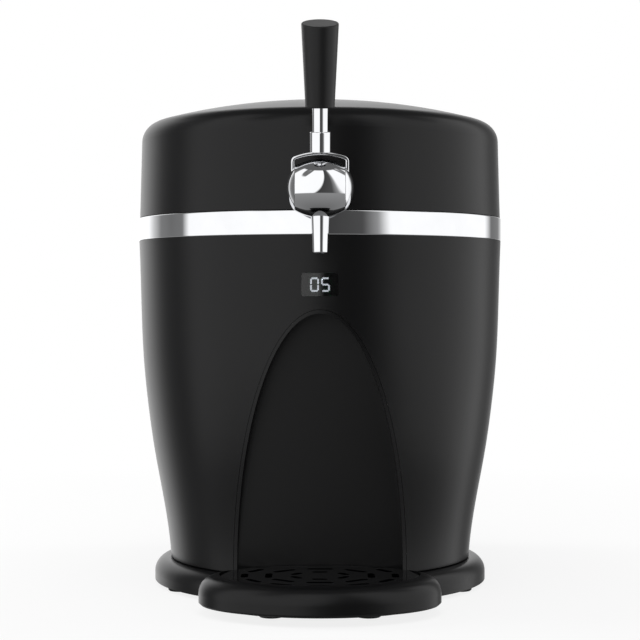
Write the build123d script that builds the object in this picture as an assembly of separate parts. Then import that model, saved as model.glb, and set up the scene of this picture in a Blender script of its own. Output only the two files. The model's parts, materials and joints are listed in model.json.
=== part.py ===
"""Mini keg beer dispenser: a cooled barrel housing for a 5 litre party keg, with a hinged head that
carries the tap, a removable drip tray and a thermoelectric cooler at the back.

Millimetres, +Z up. The front faces -Y. Sizes are set out from the barrel's upright axis at x = 0,
y = 0 with z = 0 on the table; every piece is then moved so that the origin lies on the table under
the middle of the overall box.
"""
from build123d import *
import math
import os

# ---- clearances and common walls ----
RUN_GAP = 0.3
SEAM = 0.4
WALL = 2.5
SCREW_R = 3.2
SCREW_H = 1.6
SCREW_SLOT_SIZE = (4.8, 0.9, 0.6)

# ---- barrel: every section draws in from the top's radius, at a height above the table ----
BARREL_TOP_R = 140.4
BARREL_TOP = 264.0
BARREL_FOOT_IN = 24.4
BARREL_SECTIONS = ((18.7, 63.8), (11.9, 101.0), (6.7, 138.0), (3.6, 169.0), (1.4, 218.5))
GROOVE = 0.9

# ---- feet, base plate and plinth ----
FOOT_H = 3.0
FOOT_R = 9.0
FOOT_BEVEL = 0.8
PLINTH_FOOT_IN = 11.5
PLINTH_FOOT_ANGLES = (-26.0, 38.0)
TRAY_FOOT_SHARE = (0.5, 0.4)
REAR_FOOT_X = 70.0
BASE_T = 3.0
BASE_GAP = 0.4
BASE_SCREWS = 5
BASE_SCREW_TURN = 18.0
PLINTH_STEP = 12.5
PLINTH_RING_W = 24.1
PLINTH_TOP = 20.0
PLINTH_ROUND = 11.0
PLINTH_SKIN = 3.0

# ---- niche for the glass ----
NICHE_HALF_W = 60.0
NICHE_RISE = 189.0
NICHE_BACK_IN = 20.0
NICHE_WALL = 2.6
NICHE_TONGUE_HALF_W = 50.0

# ---- chrome band, deck and keg well ----
BAND_H = 17.4
BAND_T = 2.9
BAND_PROUD = 0.3
DECK_T = 6.0
DECK_TOP = 262.0
DECK_RIM_T = 3.2
WELL_Y = 12.0
WELL_R = 89.0
WELL_T = 1.6
WELL_FLOOR = 31.6
WELL_FLANGE_W = 6.0
SEAL_T = 5.0
FOAM_GAP = 1.2
FOAM_FOOT_IN = 17.0
FOAM_FRONT_GAP = 0.8

# ---- head: the upper shell that carries the tap ----
HEAD_BOTTOM_IN = 0.6
HEAD_TAPER = 1.9
HEAD_TOP = 371.9
HEAD_CROWN_R = 481.0
HEAD_CORNER_R = 15.6
HEAD_LINER_IN = 7.9
HEAD_LINER_T = 2.0
HEAD_LINER_DROP = 12.0
HINGE_OUT = 8.6
HINGE_Z = 281.5
HINGE_PIN_R = 3.0
HINGE_KNUCKLE_R = 6.0
HINGE_ARM_X = 34.0
HINGE_ARM_W = 14.0
HINGE_LUG_W = 8.0
HINGE_FOOT_D = 20.0
HINGE_FOOT_T = 3.0

# ---- drip tray and grille ----
TRAY_A = 85.0
TRAY_B = 55.0
TRAY_OUT = 11.5
TRAY_BACK_GAP = 1.0
TRAY_TOP = 26.0
TRAY_ROUND = 12.0
TRAY_FLOOR_T = 2.5
TRAY_RIM_A = 70.9
TRAY_RIM_B = 48.9
TRAY_LEDGE = 4.5
TONGUE_IN = (18.0, 16.0)
TRAY_BEVEL = 1.5
GRILLE_EDGE = 5.0
GRILLE_BACK = 6.0
GRILLE_T = 2.7
GRILLE_Z = 22.0
GRILLE_RING_A = (19.0, 36.0, 53.0)
GRILLE_RING_RATIO = 0.80
GRILLE_RING_COUNT = (6, 8, 12)
GRILLE_SLOT_L = (11.0, 19.0, 16.0)
GRILLE_SLOT_W = 5.0

# ---- display ----
DISPLAY_Z = 229.3
DISPLAY_W = 26.4
DISPLAY_H = 16.4
DISPLAY_CORNER_R = 1.6
DIGIT_W = 6.1
DIGIT_H = 10.0
DIGIT_STROKE = 1.2
DIGIT_PITCH = 7.6
DIGIT_T = 0.4
DIGIT_JOINT = 0.35
DISPLAY_GAP = 0.1
DISPLAY_FACE_IN = 1.1
BOARD_LIP = 3.0
BOARD_T = 1.6

# ---- tap ----
TAP_OUT = 22.6
TAP_Z = 295.0
CAP_SPHERE_R = 23.2
SLAB_HALF_W = 17.2
SLAB_MID_R = 20.2
SLAB_SEAM_R = 15.6
SHANK_R = 8.0
SHANK_BORE_R = 3.0
ROSETTE_R = 12.4
NUT_R = 14.0
NUT_T = 7.0
PLUG_R = 6.5
PLUG_GAP = 0.05
SPOUT_TOP_R = 6.3
SPOUT_TIP_R = 5.4
SPOUT_TIP_Z = 250.6
BEER_BORE_R = 3.0
SPOUT_TIP_L = 11.0
SPOUT_ROOT_Z = 268.0
ROSETTE_T = 2.4
SHANK_INSIDE = 22.0
BARB_R = 3.9
BARB_L = 14.0

# ---- hose and keg connector ----
HOSE_R = 4.0
HOSE_ARC_SHARE = 0.45
HOSE_FIT_R = 130.0
HOSE_ROUTE = (
    (0.0, 24.0, 0.0),
    (-30.0, 44.0, 4.0),
    (-66.0, 50.0, 9.0),
    (-94.0, 64.0, 13.0),
    (-103.0, 90.0, 14.0),
)
CONNECTOR_R = 8.0
CONNECTOR_L = 28.0
CONNECTOR_GRIP_STEP = 1.5
CONNECTOR_GRIP_SHARE = 0.3
CONNECTOR_NOSE_R = 5.0
CONNECTOR_NOSE_L = 10.0
CLIP_WALL = 2.4
CLIP_L = 10.0
CLIP_SHARE = 0.75

# ---- lever, leaning forward from the tap's pivot ----
LEVER_LEAN = 8.0
YOKE_HALF_W = 19.7
YOKE_ARM_T = 2.2
YOKE_CROWN_R = 25.1
YOKE_CROWN_T = 2.5
YOKE_DEPTH = 10.0
YOKE_CORNER_R = 4.0
YOKE_CROWN_DROP = 4.0
LEVER_TRAVEL = 45.0
CAP_SEAT = 1.6
COLLAR_R = 7.4
COLLAR_END = 38.3
COLLAR_ROUND = 1.0
STEM_R = 5.55
STEM_END = 54.2
STEM_IN_GRIP = 22.0
GRIP_END = 111.2
GRIP_LOW_R = 9.95
GRIP_TOP_R = 12.8
GRIP_CUT = 13.2
GRIP_ROUND = 0.6
FERRULE_R = 7.0
FERRULE_L = 3.0

# ---- rear housing and cooler ----
REAR_HALF_W = 92.0
FAN_ROOM = 14.0
REAR_TOP = 252.0
REAR_CORNER_R = 20.0
REAR_EDGE_R = 7.0
DUCT_HALF_W = 58.0
DUCT_Z0 = 78.0
DUCT_Z1 = 194.0
COOLER_Z = 136.0
BLOCK_HALF = 25.0
BLOCK_OUT = 14.4
PELTIER_HALF = 20.0
PELTIER_T = 4.0
BLOCK_BITE = 6.0
SINK_HALF = 50.0
SINK_ROOM = 1.0
SINK_BASE_T = 6.0
SINK_DEPTH = 30.0
SINK_FIN_T = 1.6
SINK_FINS = 13
FAN_RIM = 3.0
FAN_T = 25.0
FAN_TIP_GAP = 1.5
FAN_BLADE_R = 41.5
FAN_HUB_R = 19.0
FAN_SHAFT_R = 2.0
FAN_BLADES = 7
FAN_BLADE_T = 1.6
FAN_BLADE_SHARE = 0.9
FAN_PITCH = 38.0
FAN_HUB_T = 3.0
FAN_STRUT_W = 5.0
FAN_STRUT_ANGLES = (45.0, 135.0)
FAN_INSET = 1.5
FAN_CORNER_R = 4.0
VENT_HALF = 56.0
VENT_T = 3.0
VENT_SLOTS = 11
VENT_SLOT_H = 4.2
VENT_SLOT_ROUND = 2.0
VENT_EDGE = 9.0
VENT_CORNER_R = 8.0
SUPPLY_SIZE = (96.0, 34.0, 44.0)
REAR_SCREW_Z = (24.0, 226.0)
CONTROL_OUT = (16.4, 27.6)
CONTROL_Z = (96.0, 190.0)
STANDOFF_L = 5.0
STANDOFF_R = 2.5
INLET_X = 38.0
INLET_Z = 40.0
INLET_SIZE = (27.6, 19.8)
INLET_DEPTH = 22.0
INLET_LIP = 3.0
INLET_LIP_T = 1.6
INLET_CUP = 2.4
INLET_PIN_PITCH = 7.0
INLET_PIN_RISE = 2.0
INLET_PIN_SIZE = (2.0, 4.0)
SWITCH_X = -38.0
SWITCH_SIZE = (13.0, 19.8)
SWITCH_DEPTH = 14.0
SWITCH_PROUD = 1.4
SWITCH_RIM = 1.4
SWITCH_PIVOT_IN = 3.0
SWITCH_PIN_R = 1.0
ROCKER_BACK = 3.0
ROCKER_FRONT = 5.6
ROCKER_TILT = 8.0

# ---- sizes worked out from those above ----
BARREL_FOOT_R = BARREL_TOP_R - BARREL_FOOT_IN
BARREL_FACE_R = BARREL_TOP_R - DISPLAY_FACE_IN
PLINTH_R = BARREL_FOOT_R + PLINTH_STEP
PLINTH_INNER_R = PLINTH_R - PLINTH_RING_W
PLINTH_FOOT_R = PLINTH_R - PLINTH_FOOT_IN
BASE_R = PLINTH_INNER_R - BASE_GAP
NICHE_BACK_Y = NICHE_BACK_IN - BARREL_FOOT_R
BAND_R = BARREL_TOP_R + BAND_PROUD
HEAD_BOTTOM_R = BARREL_TOP_R - HEAD_BOTTOM_IN
HEAD_SHOULDER_R = HEAD_BOTTOM_R - HEAD_TAPER
HEAD_LINER_R = HEAD_SHOULDER_R - HEAD_LINER_IN
HINGE_Y = BARREL_TOP_R + HINGE_OUT
TAP_Y = -BARREL_TOP_R - TAP_OUT
TRAY_Y = -PLINTH_R - TRAY_OUT
GRILLE_Y = TRAY_Y + GRILLE_BACK
SHANK_END_Y = SHANK_INSIDE - HEAD_LINER_R
CONTROL_Y = (BARREL_TOP_R - CONTROL_OUT[0], BARREL_TOP_R + CONTROL_OUT[1])
BASE_Z = FOOT_H
BASE_TOP = BASE_Z + BASE_T
BAND_Z0 = BARREL_TOP
BAND_Z1 = BAND_Z0 + BAND_H
HEAD_BOTTOM = BAND_Z1 + SEAM
DECK_BOTTOM = DECK_TOP - DECK_T
DECK_R = BARREL_TOP_R - WALL - RUN_GAP * 2
RIM_TOP = BAND_Z1 - SEAL_T
BOARD_HALF_W = DISPLAY_W / 2 + BOARD_LIP
BOARD_Y = RUN_GAP - math.sqrt((BARREL_FACE_R - WALL) ** 2 - BOARD_HALF_W ** 2)
DIGIT_Y = BOARD_Y - DIGIT_T
WELL_OUTER_R = WELL_R + WELL_T
GRILLE_A = TRAY_RIM_A - SEAM
GRILLE_B = TRAY_RIM_B - SEAM
TRAY_BOTTOM = BASE_TOP + RUN_GAP
TRAY_BACK_Y = NICHE_BACK_Y - TRAY_BACK_GAP
TONGUE_A = TRAY_A - TONGUE_IN[0]
TONGUE_B = TRAY_B - TONGUE_IN[1]
FOAM_BOTTOM_R = BARREL_FOOT_R - FOAM_FOOT_IN
FOAM_FRONT_Y = NICHE_BACK_Y + NICHE_WALL + FOAM_FRONT_GAP
BLOCK_BACK_Y = WELL_Y + WELL_OUTER_R + BLOCK_OUT
SINK_FRONT_Y = BLOCK_BACK_Y + PELTIER_T
SINK_BACK_Y = SINK_FRONT_Y + SINK_DEPTH
FAN_FRONT_Y = SINK_BACK_Y
FAN_BACK_Y = FAN_FRONT_Y + FAN_T
FAN_BORE_R = FAN_BLADE_R + FAN_TIP_GAP
FAN_HALF = FAN_BORE_R + FAN_RIM
REAR_Y = FAN_BACK_Y + FAN_ROOM
REAR_BOTTOM = BASE_Z
LEAN = math.radians(LEVER_LEAN)
GRIP_REACH = GRIP_END * math.sin(LEAN) + GRIP_TOP_R * math.cos(LEAN)
FRONT_Y = min(TRAY_Y - TRAY_B, TAP_Y - GRIP_REACH)
BACK_Y = REAR_Y - SWITCH_PIVOT_IN + ROCKER_FRONT * math.cos(math.radians(ROCKER_TILT))
MIDDLE_Y = (FRONT_Y + BACK_Y) / 2
EPS = 1.0
FAR = 400.0


# ---- building blocks ----
def block(x0, x1, y0, y1, z0, z1):
    """A box between two corners."""
    return Pos((x0 + x1) / 2, (y0 + y1) / 2, (z0 + z1) / 2) * Box(x1 - x0, y1 - y0, z1 - z0)


def upright(radius, x, y, z0, z1):
    """A cylinder along Z."""
    return Pos(x, y, (z0 + z1) / 2) * Cylinder(radius, z1 - z0)


def along_y(radius, x, z, y0, y1):
    """A cylinder along Y."""
    return Pos(x, (y0 + y1) / 2, z) * Rot(90, 0, 0) * Cylinder(radius, y1 - y0)


def along_x(radius, y, z, x0, x1):
    """A cylinder along X."""
    return Pos((x0 + x1) / 2, y, z) * Rot(0, 90, 0) * Cylinder(radius, x1 - x0)


def ring(outer, inner, z0, z1):
    """A flat ring about the Z axis."""
    return upright(outer, 0, 0, z0, z1) - upright(inner, 0, 0, z0 - EPS, z1 + EPS)


def oval(half_x, half_y, y, z0, z1):
    """An upright elliptical block."""
    return extrude(Pos(0, y, z0) * Ellipse(half_x, half_y), z1 - z0)


def arch(half_width, rise, y0, y1):
    """A half-ellipse standing on the plinth's top, run from y0 to y1, with straight legs below it."""
    face = Plane.XZ.offset(-y0) * Pos(0, PLINTH_TOP) * Ellipse(half_width, rise)
    body = extrude(face, -(y1 - y0))
    return body & block(-FAR, FAR, y0 - EPS, y1 + EPS, PLINTH_TOP, FAR)


def barrel_solid(shrink, top=BARREL_TOP):
    """The barrel as a filled solid, drawn in by a distance."""
    foot = (BARREL_FOOT_R - shrink, PLINTH_TOP)
    middle = [(BARREL_TOP_R - inset - shrink, z) for inset, z in BARREL_SECTIONS]
    head = (BARREL_TOP_R - shrink, top)
    side = Spline(*[(r, 0, z) for r, z in [foot, *middle, head]])
    rest = Polyline((head[0], 0, top), (0, 0, top), (0, 0, PLINTH_TOP), (foot[0], 0, PLINTH_TOP))
    return revolve(make_face([side, rest]), Axis.Z)


def head_solid(shrink, top_shrink, bottom):
    """The head's domed form as a filled solid, drawn in by a distance."""
    crown = HEAD_CROWN_R - top_shrink
    top = HEAD_TOP - top_shrink
    side = HEAD_SHOULDER_R - shrink
    shoulder_z = top - crown + math.sqrt(crown ** 2 - side ** 2)
    dome = ThreePointArc(
        (side, 0, shoulder_z),
        (side / 2, 0, top - crown + math.sqrt(crown ** 2 - (side / 2) ** 2)),
        (0, 0, top),
    )
    foot_r = HEAD_BOTTOM_R - shrink
    rest = Polyline((0, 0, top), (0, 0, bottom), (foot_r, 0, bottom), (side, 0, shoulder_z))
    face = make_face([dome, rest])
    shoulder = face.vertices().sort_by(Axis.X)[-2]
    return revolve(fillet(shoulder, HEAD_CORNER_R - shrink), Axis.Z)


def screw_heads(places, direction):
    """Pan heads with a slot, one solid for each place, facing along a direction."""
    heads = []
    slot_l, slot_w, slot_d = SCREW_SLOT_SIZE
    for place in places:
        head = Cylinder(SCREW_R, SCREW_H) - Pos(0, 0, SCREW_H / 2) * Box(slot_l, slot_w, 2 * slot_d)
        turn = Plane(origin=place, z_dir=direction).location
        heads.append(turn * Pos(0, 0, SCREW_H / 2) * head)
    return Compound(heads)


def screw_group(name, places, direction):
    """Save a group of like screws."""
    save(name, screw_heads(places, direction))


def save(name, shape):
    """Write one node, moved into the part's own frame."""
    moved = Pos(0, -MIDDLE_Y, 0) * shape
    export_step(moved, f"parts/{name}.step")


# ---- base ----
def tray_plan(gap, z0, z1):
    """The tray's footprint with a clearance, cut off flat at the niche's back."""
    plan = oval(TRAY_A + gap, TRAY_B + gap, TRAY_Y, z0, z1)
    return plan & block(-FAR, FAR, -FAR, TRAY_BACK_Y + gap, z0 - EPS, z1 + EPS)


def foot(x, y):
    """One round rubber foot with a bevelled tread."""
    pad = upright(FOOT_R, x, y, 0, FOOT_H)
    return chamfer(pad.faces().sort_by(Axis.Z)[0].edges(), FOOT_BEVEL)


def foot_places():
    """Where the feet stand: four under the plinth, two under the tray and two under the rear housing."""
    places = []
    share_x, share_y = TRAY_FOOT_SHARE
    for side in (-1, 1):
        for angle in PLINTH_FOOT_ANGLES:
            turn = math.radians(angle)
            places.append((side * PLINTH_FOOT_R * math.cos(turn), PLINTH_FOOT_R * math.sin(turn)))
        places.append((side * TONGUE_A * share_x, TRAY_Y - TONGUE_B * share_y))
        places.append((side * REAR_FOOT_X, REAR_Y - REAR_CORNER_R))
    return places


def make_base():
    """Base plate with the tongue that carries the tray, the plinth ring around it, and the feet."""
    tongue = oval(TONGUE_A, TONGUE_B, TRAY_Y, BASE_Z, BASE_TOP)
    neck = block(-NICHE_TONGUE_HALF_W, NICHE_TONGUE_HALF_W, TRAY_Y, 0, BASE_Z, BASE_TOP)
    save("base_plate", upright(BASE_R, 0, 0, BASE_Z, BASE_TOP) + tongue + neck)

    plinth = upright(PLINTH_R, 0, 0, BASE_Z, PLINTH_TOP)
    plinth = fillet(plinth.edges().filter_by(GeomType.CIRCLE).sort_by(Axis.Z)[-1], PLINTH_ROUND)
    plinth = plinth - upright(PLINTH_INNER_R, 0, 0, 0, FAR)
    channel_top = PLINTH_TOP - PLINTH_SKIN * 2
    channel = ring(PLINTH_R - PLINTH_SKIN * 2, PLINTH_INNER_R + PLINTH_SKIN, 0, channel_top)
    channel = channel - tray_plan(PLINTH_SKIN, 0, channel_top)
    for x, y in foot_places():
        channel = channel - upright(FOOT_R, x, y, 0, channel_top)
    notch = tray_plan(RUN_GAP * 2, 0, FAR)
    slot_w = NICHE_TONGUE_HALF_W + RUN_GAP
    slot = block(-slot_w, slot_w, -PLINTH_R, -PLINTH_INNER_R / 2, 0, FAR)
    save("base_plinth", plinth - channel - notch - slot)
    save("rubber_feet", Compound([foot(x, y) for x, y in foot_places()]))
    turns = [math.radians(BASE_SCREW_TURN + 360 * i / BASE_SCREWS) for i in range(BASE_SCREWS)]
    reach = BASE_R - SCREW_R * 3
    places = [(reach * math.cos(turn), reach * math.sin(turn), BASE_Z) for turn in turns]
    screw_group("base_screws", places, (0, 0, -1))


# ---- barrel, niche and display ----
def display_block(grow, y0, y1):
    """The display's rounded window outline, run from y0 to y1."""
    body = block(-DISPLAY_W / 2 - grow, DISPLAY_W / 2 + grow, y0, y1,
                 DISPLAY_Z - DISPLAY_H / 2 - grow, DISPLAY_Z + DISPLAY_H / 2 + grow)
    return fillet(body.edges().filter_by(Axis.Y), DISPLAY_CORNER_R + grow)


def duct_block(grow, y0, y1):
    """The way through the barrel's back for the cooler."""
    return block(-DUCT_HALF_W - grow, DUCT_HALF_W + grow, y0, y1, DUCT_Z0 - grow, DUCT_Z1 + grow)


def make_barrel():
    """Lower shell with its openings, the niche panel in its front and the insulation inside."""
    shell = barrel_solid(0)
    shell = chamfer(shell.edges().filter_by(GeomType.CIRCLE).sort_by(Axis.Z)[0], GROOVE)
    shell = shell - barrel_solid(WALL)
    niche_gap = NICHE_WALL + RUN_GAP
    opening = arch(NICHE_HALF_W + niche_gap, NICHE_RISE + niche_gap, -FAR / 2, 0)
    shell = shell - opening - display_block(0, -FAR / 2, 0) - duct_block(0, 0, FAR / 2)
    save("lower_shell", shell)

    back_y = NICHE_BACK_Y + NICHE_WALL
    outer = arch(NICHE_HALF_W + NICHE_WALL, NICHE_RISE + NICHE_WALL, -FAR / 2, back_y)
    inner = arch(NICHE_HALF_W, NICHE_RISE, -FAR / 2, NICHE_BACK_Y)
    panel = (outer - inner) & barrel_solid(0)
    tongue = block(-NICHE_TONGUE_HALF_W, NICHE_TONGUE_HALF_W, NICHE_BACK_Y, back_y,
                   BASE_TOP, PLINTH_TOP + NICHE_WALL)
    save("niche_panel", panel + tongue)

    foam = barrel_solid(WALL + FOAM_GAP, DECK_BOTTOM - SEAM)
    foam = foam + upright(FOAM_BOTTOM_R, 0, 0, BASE_TOP, PLINTH_TOP + EPS)
    foam = foam & block(-FAR, FAR, FOAM_FRONT_Y, FAR, 0, FAR)
    foam = foam - upright(WELL_OUTER_R, 0, WELL_Y, WELL_FLOOR - WELL_T, FAR)
    side_x = SINK_HALF + SINK_ROOM
    foam = foam - block(-side_x, side_x, WELL_Y + WELL_OUTER_R - BLOCK_BITE, FAR,
                        DUCT_Z0 - SINK_ROOM, DUCT_Z1 + SINK_ROOM)
    save("insulation", foam)


def segment(digit_x, name):
    """One bar of a seven-segment digit, standing in the XZ plane behind the window."""
    half_w = (DIGIT_W - DIGIT_STROKE) / 2
    half_h = (DIGIT_H - DIGIT_STROKE) / 2
    half_stroke = DIGIT_STROKE / 2
    rows = {"top": half_h, "middle": 0.0, "bottom": -half_h}
    if name in rows:
        z = DISPLAY_Z + rows[name]
        x0 = digit_x - half_w + DIGIT_JOINT
        x1 = digit_x + half_w - DIGIT_JOINT
        return block(x0, x1, DIGIT_Y, BOARD_Y, z - half_stroke, z + half_stroke)
    level, side = name.split("_")
    middle = half_h / 2 if level == "upper" else -half_h / 2
    x = digit_x + (half_w if side == "right" else -half_w)
    reach = half_h / 2 - DIGIT_JOINT
    z = DISPLAY_Z + middle
    return block(x - half_stroke, x + half_stroke, DIGIT_Y, BOARD_Y, z - reach, z + reach)


def make_display():
    """Dark window, lit digits and the board that carries them."""
    window = display_block(-DISPLAY_GAP, -FAR / 2, DIGIT_Y - RUN_GAP)
    save("display_window", window & barrel_solid(0))
    sides = ("upper_left", "upper_right", "lower_left", "lower_right")
    zero = ("top", "bottom", *sides)
    five = ("top", "middle", "bottom", "upper_left", "lower_right")
    bars = [segment(-DIGIT_PITCH / 2, name) for name in zero]
    bars += [segment(DIGIT_PITCH / 2, name) for name in five]
    save("display_digits", Compound(bars))
    half_h = DISPLAY_H / 2 + BOARD_LIP
    save("display_board", block(-BOARD_HALF_W, BOARD_HALF_W, BOARD_Y, BOARD_Y + BOARD_T,
                                DISPLAY_Z - half_h, DISPLAY_Z + half_h))


# ---- band, deck and keg well ----
def make_top():
    """Chrome band, the deck that closes the barrel, the seal on its rim and the hung keg well."""
    save("chrome_band", ring(BAND_R, BAND_R - BAND_T, BAND_Z0, BAND_Z1))

    rim = ring(DECK_R, DECK_R - DECK_RIM_T, DECK_BOTTOM, RIM_TOP)
    deck = upright(DECK_R - DECK_RIM_T + EPS, 0, 0, DECK_BOTTOM, DECK_TOP) + rim
    save("top_collar", deck - upright(WELL_OUTER_R, 0, WELL_Y, 0, FAR))
    save("lid_seal", ring(DECK_R, DECK_R - DECK_RIM_T, RIM_TOP, HEAD_BOTTOM - RUN_GAP))

    well = upright(WELL_OUTER_R, 0, WELL_Y, WELL_FLOOR - WELL_T, DECK_TOP)
    well = well + upright(WELL_OUTER_R + WELL_FLANGE_W, 0, WELL_Y, DECK_TOP, DECK_TOP + WELL_T)
    save("keg_well", well - upright(WELL_R, 0, WELL_Y, WELL_FLOOR, FAR))


# ---- rear housing and cooler ----
def rounded_box(half_w, y0, y1, z0, z1, corner, edge):
    """A box whose back corners and back and top edges are rounded."""
    body = block(-half_w, half_w, y0, y1, z0, z1)
    back = body.edges().filter_by(Axis.Z).group_by(Axis.Y)[-1]
    body = fillet(back, corner)
    top = body.faces().sort_by(Axis.Z)[-1]
    return fillet(top.edges().filter_by_position(Axis.Y, y0 + EPS, FAR), edge)


def vent_block(grow, y0, y1):
    """The louvre's rounded square outline, run from y0 to y1."""
    half = VENT_HALF + grow
    body = block(-half, half, y0, y1, COOLER_Z - half, COOLER_Z + half)
    return fillet(body.edges().filter_by(Axis.Y), VENT_CORNER_R + grow)


def back_hole(size, x, y0, y1):
    """A rectangular block through the back wall, centred at the inlet's height."""
    width, height = size
    return block(x - width / 2, x + width / 2, y0, y1, INLET_Z - height / 2, INLET_Z + height / 2)


def make_vent():
    """Louvre panel with a stack of round-ended slots."""
    panel_y = REAR_Y - WALL - VENT_T
    panel = vent_block(0, panel_y, REAR_Y)
    pitch = 2 * (VENT_HALF - VENT_EDGE) / VENT_SLOTS
    reach = VENT_HALF - VENT_EDGE
    for i in range(VENT_SLOTS):
        z = COOLER_Z + (i - (VENT_SLOTS - 1) / 2) * pitch
        slot = block(-reach, reach, panel_y - EPS, REAR_Y + EPS, z - VENT_SLOT_H / 2, z + VENT_SLOT_H / 2)
        panel = panel - fillet(slot.edges().filter_by(Axis.Y), VENT_SLOT_ROUND)
    save("rear_vent", panel)


def make_rear():
    """Rear housing, its louvre, the mains inlet, the switch surround and the power supply."""
    shell = rounded_box(REAR_HALF_W, 0, REAR_Y, REAR_BOTTOM, REAR_TOP, REAR_CORNER_R, REAR_EDGE_R)
    inside = rounded_box(REAR_HALF_W - WALL, 0, REAR_Y - WALL, REAR_BOTTOM + WALL, REAR_TOP - WALL,
                         REAR_CORNER_R - WALL, REAR_EDGE_R - WALL)
    shell = shell - inside - barrel_solid(-RUN_GAP)
    shell = shell - upright(PLINTH_R + RUN_GAP, 0, 0, 0, PLINTH_TOP)
    hole_y = (REAR_Y - WALL - EPS, REAR_Y + EPS)
    shell = shell - vent_block(0, *hole_y)
    shell = shell - back_hole(INLET_SIZE, INLET_X, *hole_y)
    shell = shell - back_hole(SWITCH_SIZE, SWITCH_X, *hole_y)
    save("rear_housing", shell)

    width, depth, height = SUPPLY_SIZE
    supply_y = PLINTH_R + RUN_GAP * 4
    supply_z = REAR_BOTTOM + WALL
    save("power_supply", block(-width / 2, width / 2, supply_y, supply_y + depth,
                               supply_z, supply_z + height))
    x = REAR_HALF_W - REAR_CORNER_R
    places = [(side * x, REAR_Y, z) for side in (-1, 1) for z in REAR_SCREW_Z]
    screw_group("housing_screws", places, (0, 1, 0))
    make_vent()
    make_inlet()
    make_switch()
    make_control_board()


def make_control_board():
    """Control board on four standoffs on the rear housing's side wall."""
    wall_x = REAR_HALF_W - WALL
    y0, y1 = CONTROL_Y
    z0, z1 = CONTROL_Z
    board = block(-wall_x + STANDOFF_L, -wall_x + STANDOFF_L + BOARD_T, y0, y1, z0, z1)
    for y in (y0 + STANDOFF_R * 2, y1 - STANDOFF_R * 2):
        for z in (z0 + STANDOFF_R * 2, z1 - STANDOFF_R * 2):
            board = board + along_x(STANDOFF_R, y, z, -wall_x, -wall_x + STANDOFF_L)
    save("control_board", board)


def make_inlet():
    """Three-pin mains inlet set in the back wall."""
    width, height = INLET_SIZE
    bottom_y = REAR_Y - INLET_DEPTH
    body = back_hole(INLET_SIZE, INLET_X, bottom_y, REAR_Y)
    lip_size = (width + 2 * INLET_LIP, height + INLET_LIP)
    flange = back_hole(lip_size, INLET_X, REAR_Y, REAR_Y + INLET_LIP_T)
    flange = fillet(flange.edges().filter_by(Axis.Y), INLET_LIP)
    cup_size = (width - 2 * INLET_CUP, height - 2 * INLET_CUP)
    cup = back_hole(cup_size, INLET_X, bottom_y + INLET_CUP, REAR_Y + INLET_LIP_T + EPS)
    save("power_inlet", flange + body - cup)
    pins = []
    pin_w, pin_h = INLET_PIN_SIZE
    low = INLET_Z - INLET_PIN_RISE - pin_h / 2
    high = INLET_Z + INLET_PIN_RISE - pin_h / 2
    for x, z in ((-INLET_PIN_PITCH, low), (0, high), (INLET_PIN_PITCH, low)):
        x0 = INLET_X + x - pin_w / 2
        pins.append(block(x0, x0 + pin_w, bottom_y + INLET_CUP, REAR_Y - INLET_CUP, z, z + pin_h))
    save("inlet_pins", Compound(pins))


def make_switch():
    """Rocker switch: a surround in the back wall and a rocker on its own pivot."""
    width, height = SWITCH_SIZE
    pivot_y = REAR_Y - SWITCH_PIVOT_IN
    half_w = width / 2 - SWITCH_RIM
    bottom_y = REAR_Y - SWITCH_DEPTH
    outer = back_hole(SWITCH_SIZE, SWITCH_X, bottom_y, REAR_Y + SWITCH_PROUD)
    hole_size = (width - 2 * SWITCH_RIM, height - 2 * SWITCH_RIM)
    hole = back_hole(hole_size, SWITCH_X, bottom_y + SWITCH_RIM, REAR_Y + FAR)
    reach_x = half_w + SWITCH_RIM / 2
    bearing = along_x(SWITCH_PIN_R + PLUG_GAP, pivot_y, INLET_Z, SWITCH_X - reach_x, SWITCH_X + reach_x)
    save("switch_bezel", outer - hole - bearing)

    reach = height / 2 - SWITCH_RIM - RUN_GAP
    end_y = ROCKER_FRONT - reach * math.tan(math.radians(ROCKER_TILT))
    outline = Polyline((0, -ROCKER_BACK, -reach), (0, -ROCKER_BACK, reach), (0, end_y, reach),
                       (0, ROCKER_FRONT, 0), (0, end_y, -reach), close=True)
    half = half_w - RUN_GAP
    key = extrude(make_face(outline), half, both=True) & along_x(reach, 0, 0, -half, half)
    key = key + along_x(SWITCH_PIN_R, 0, 0, RUN_GAP - reach_x, reach_x - RUN_GAP)
    save("switch_rocker", Pos(SWITCH_X, pivot_y, INLET_Z) * Rot(ROCKER_TILT, 0, 0) * key)


def make_cooler():
    """Cold block on the well, peltier module, finned heat sink and the fan behind it."""
    cold = block(-BLOCK_HALF, BLOCK_HALF, WELL_Y, BLOCK_BACK_Y,
                 COOLER_Z - BLOCK_HALF, COOLER_Z + BLOCK_HALF)
    save("cold_block", cold - upright(WELL_OUTER_R, 0, WELL_Y, 0, FAR))
    save("peltier_module", block(-PELTIER_HALF, PELTIER_HALF, BLOCK_BACK_Y, SINK_FRONT_Y,
                                 COOLER_Z - PELTIER_HALF, COOLER_Z + PELTIER_HALF))

    sink = block(-SINK_HALF, SINK_HALF, SINK_FRONT_Y, SINK_FRONT_Y + SINK_BASE_T,
                 COOLER_Z - SINK_HALF, COOLER_Z + SINK_HALF)
    pitch = (2 * SINK_HALF - SINK_FIN_T) / (SINK_FINS - 1)
    for i in range(SINK_FINS):
        x = -SINK_HALF + i * pitch
        sink = sink + block(x, x + SINK_FIN_T, SINK_FRONT_Y, SINK_BACK_Y,
                            COOLER_Z - SINK_HALF, COOLER_Z + SINK_HALF)
    save("heat_sink", sink)
    make_fan()


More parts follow.
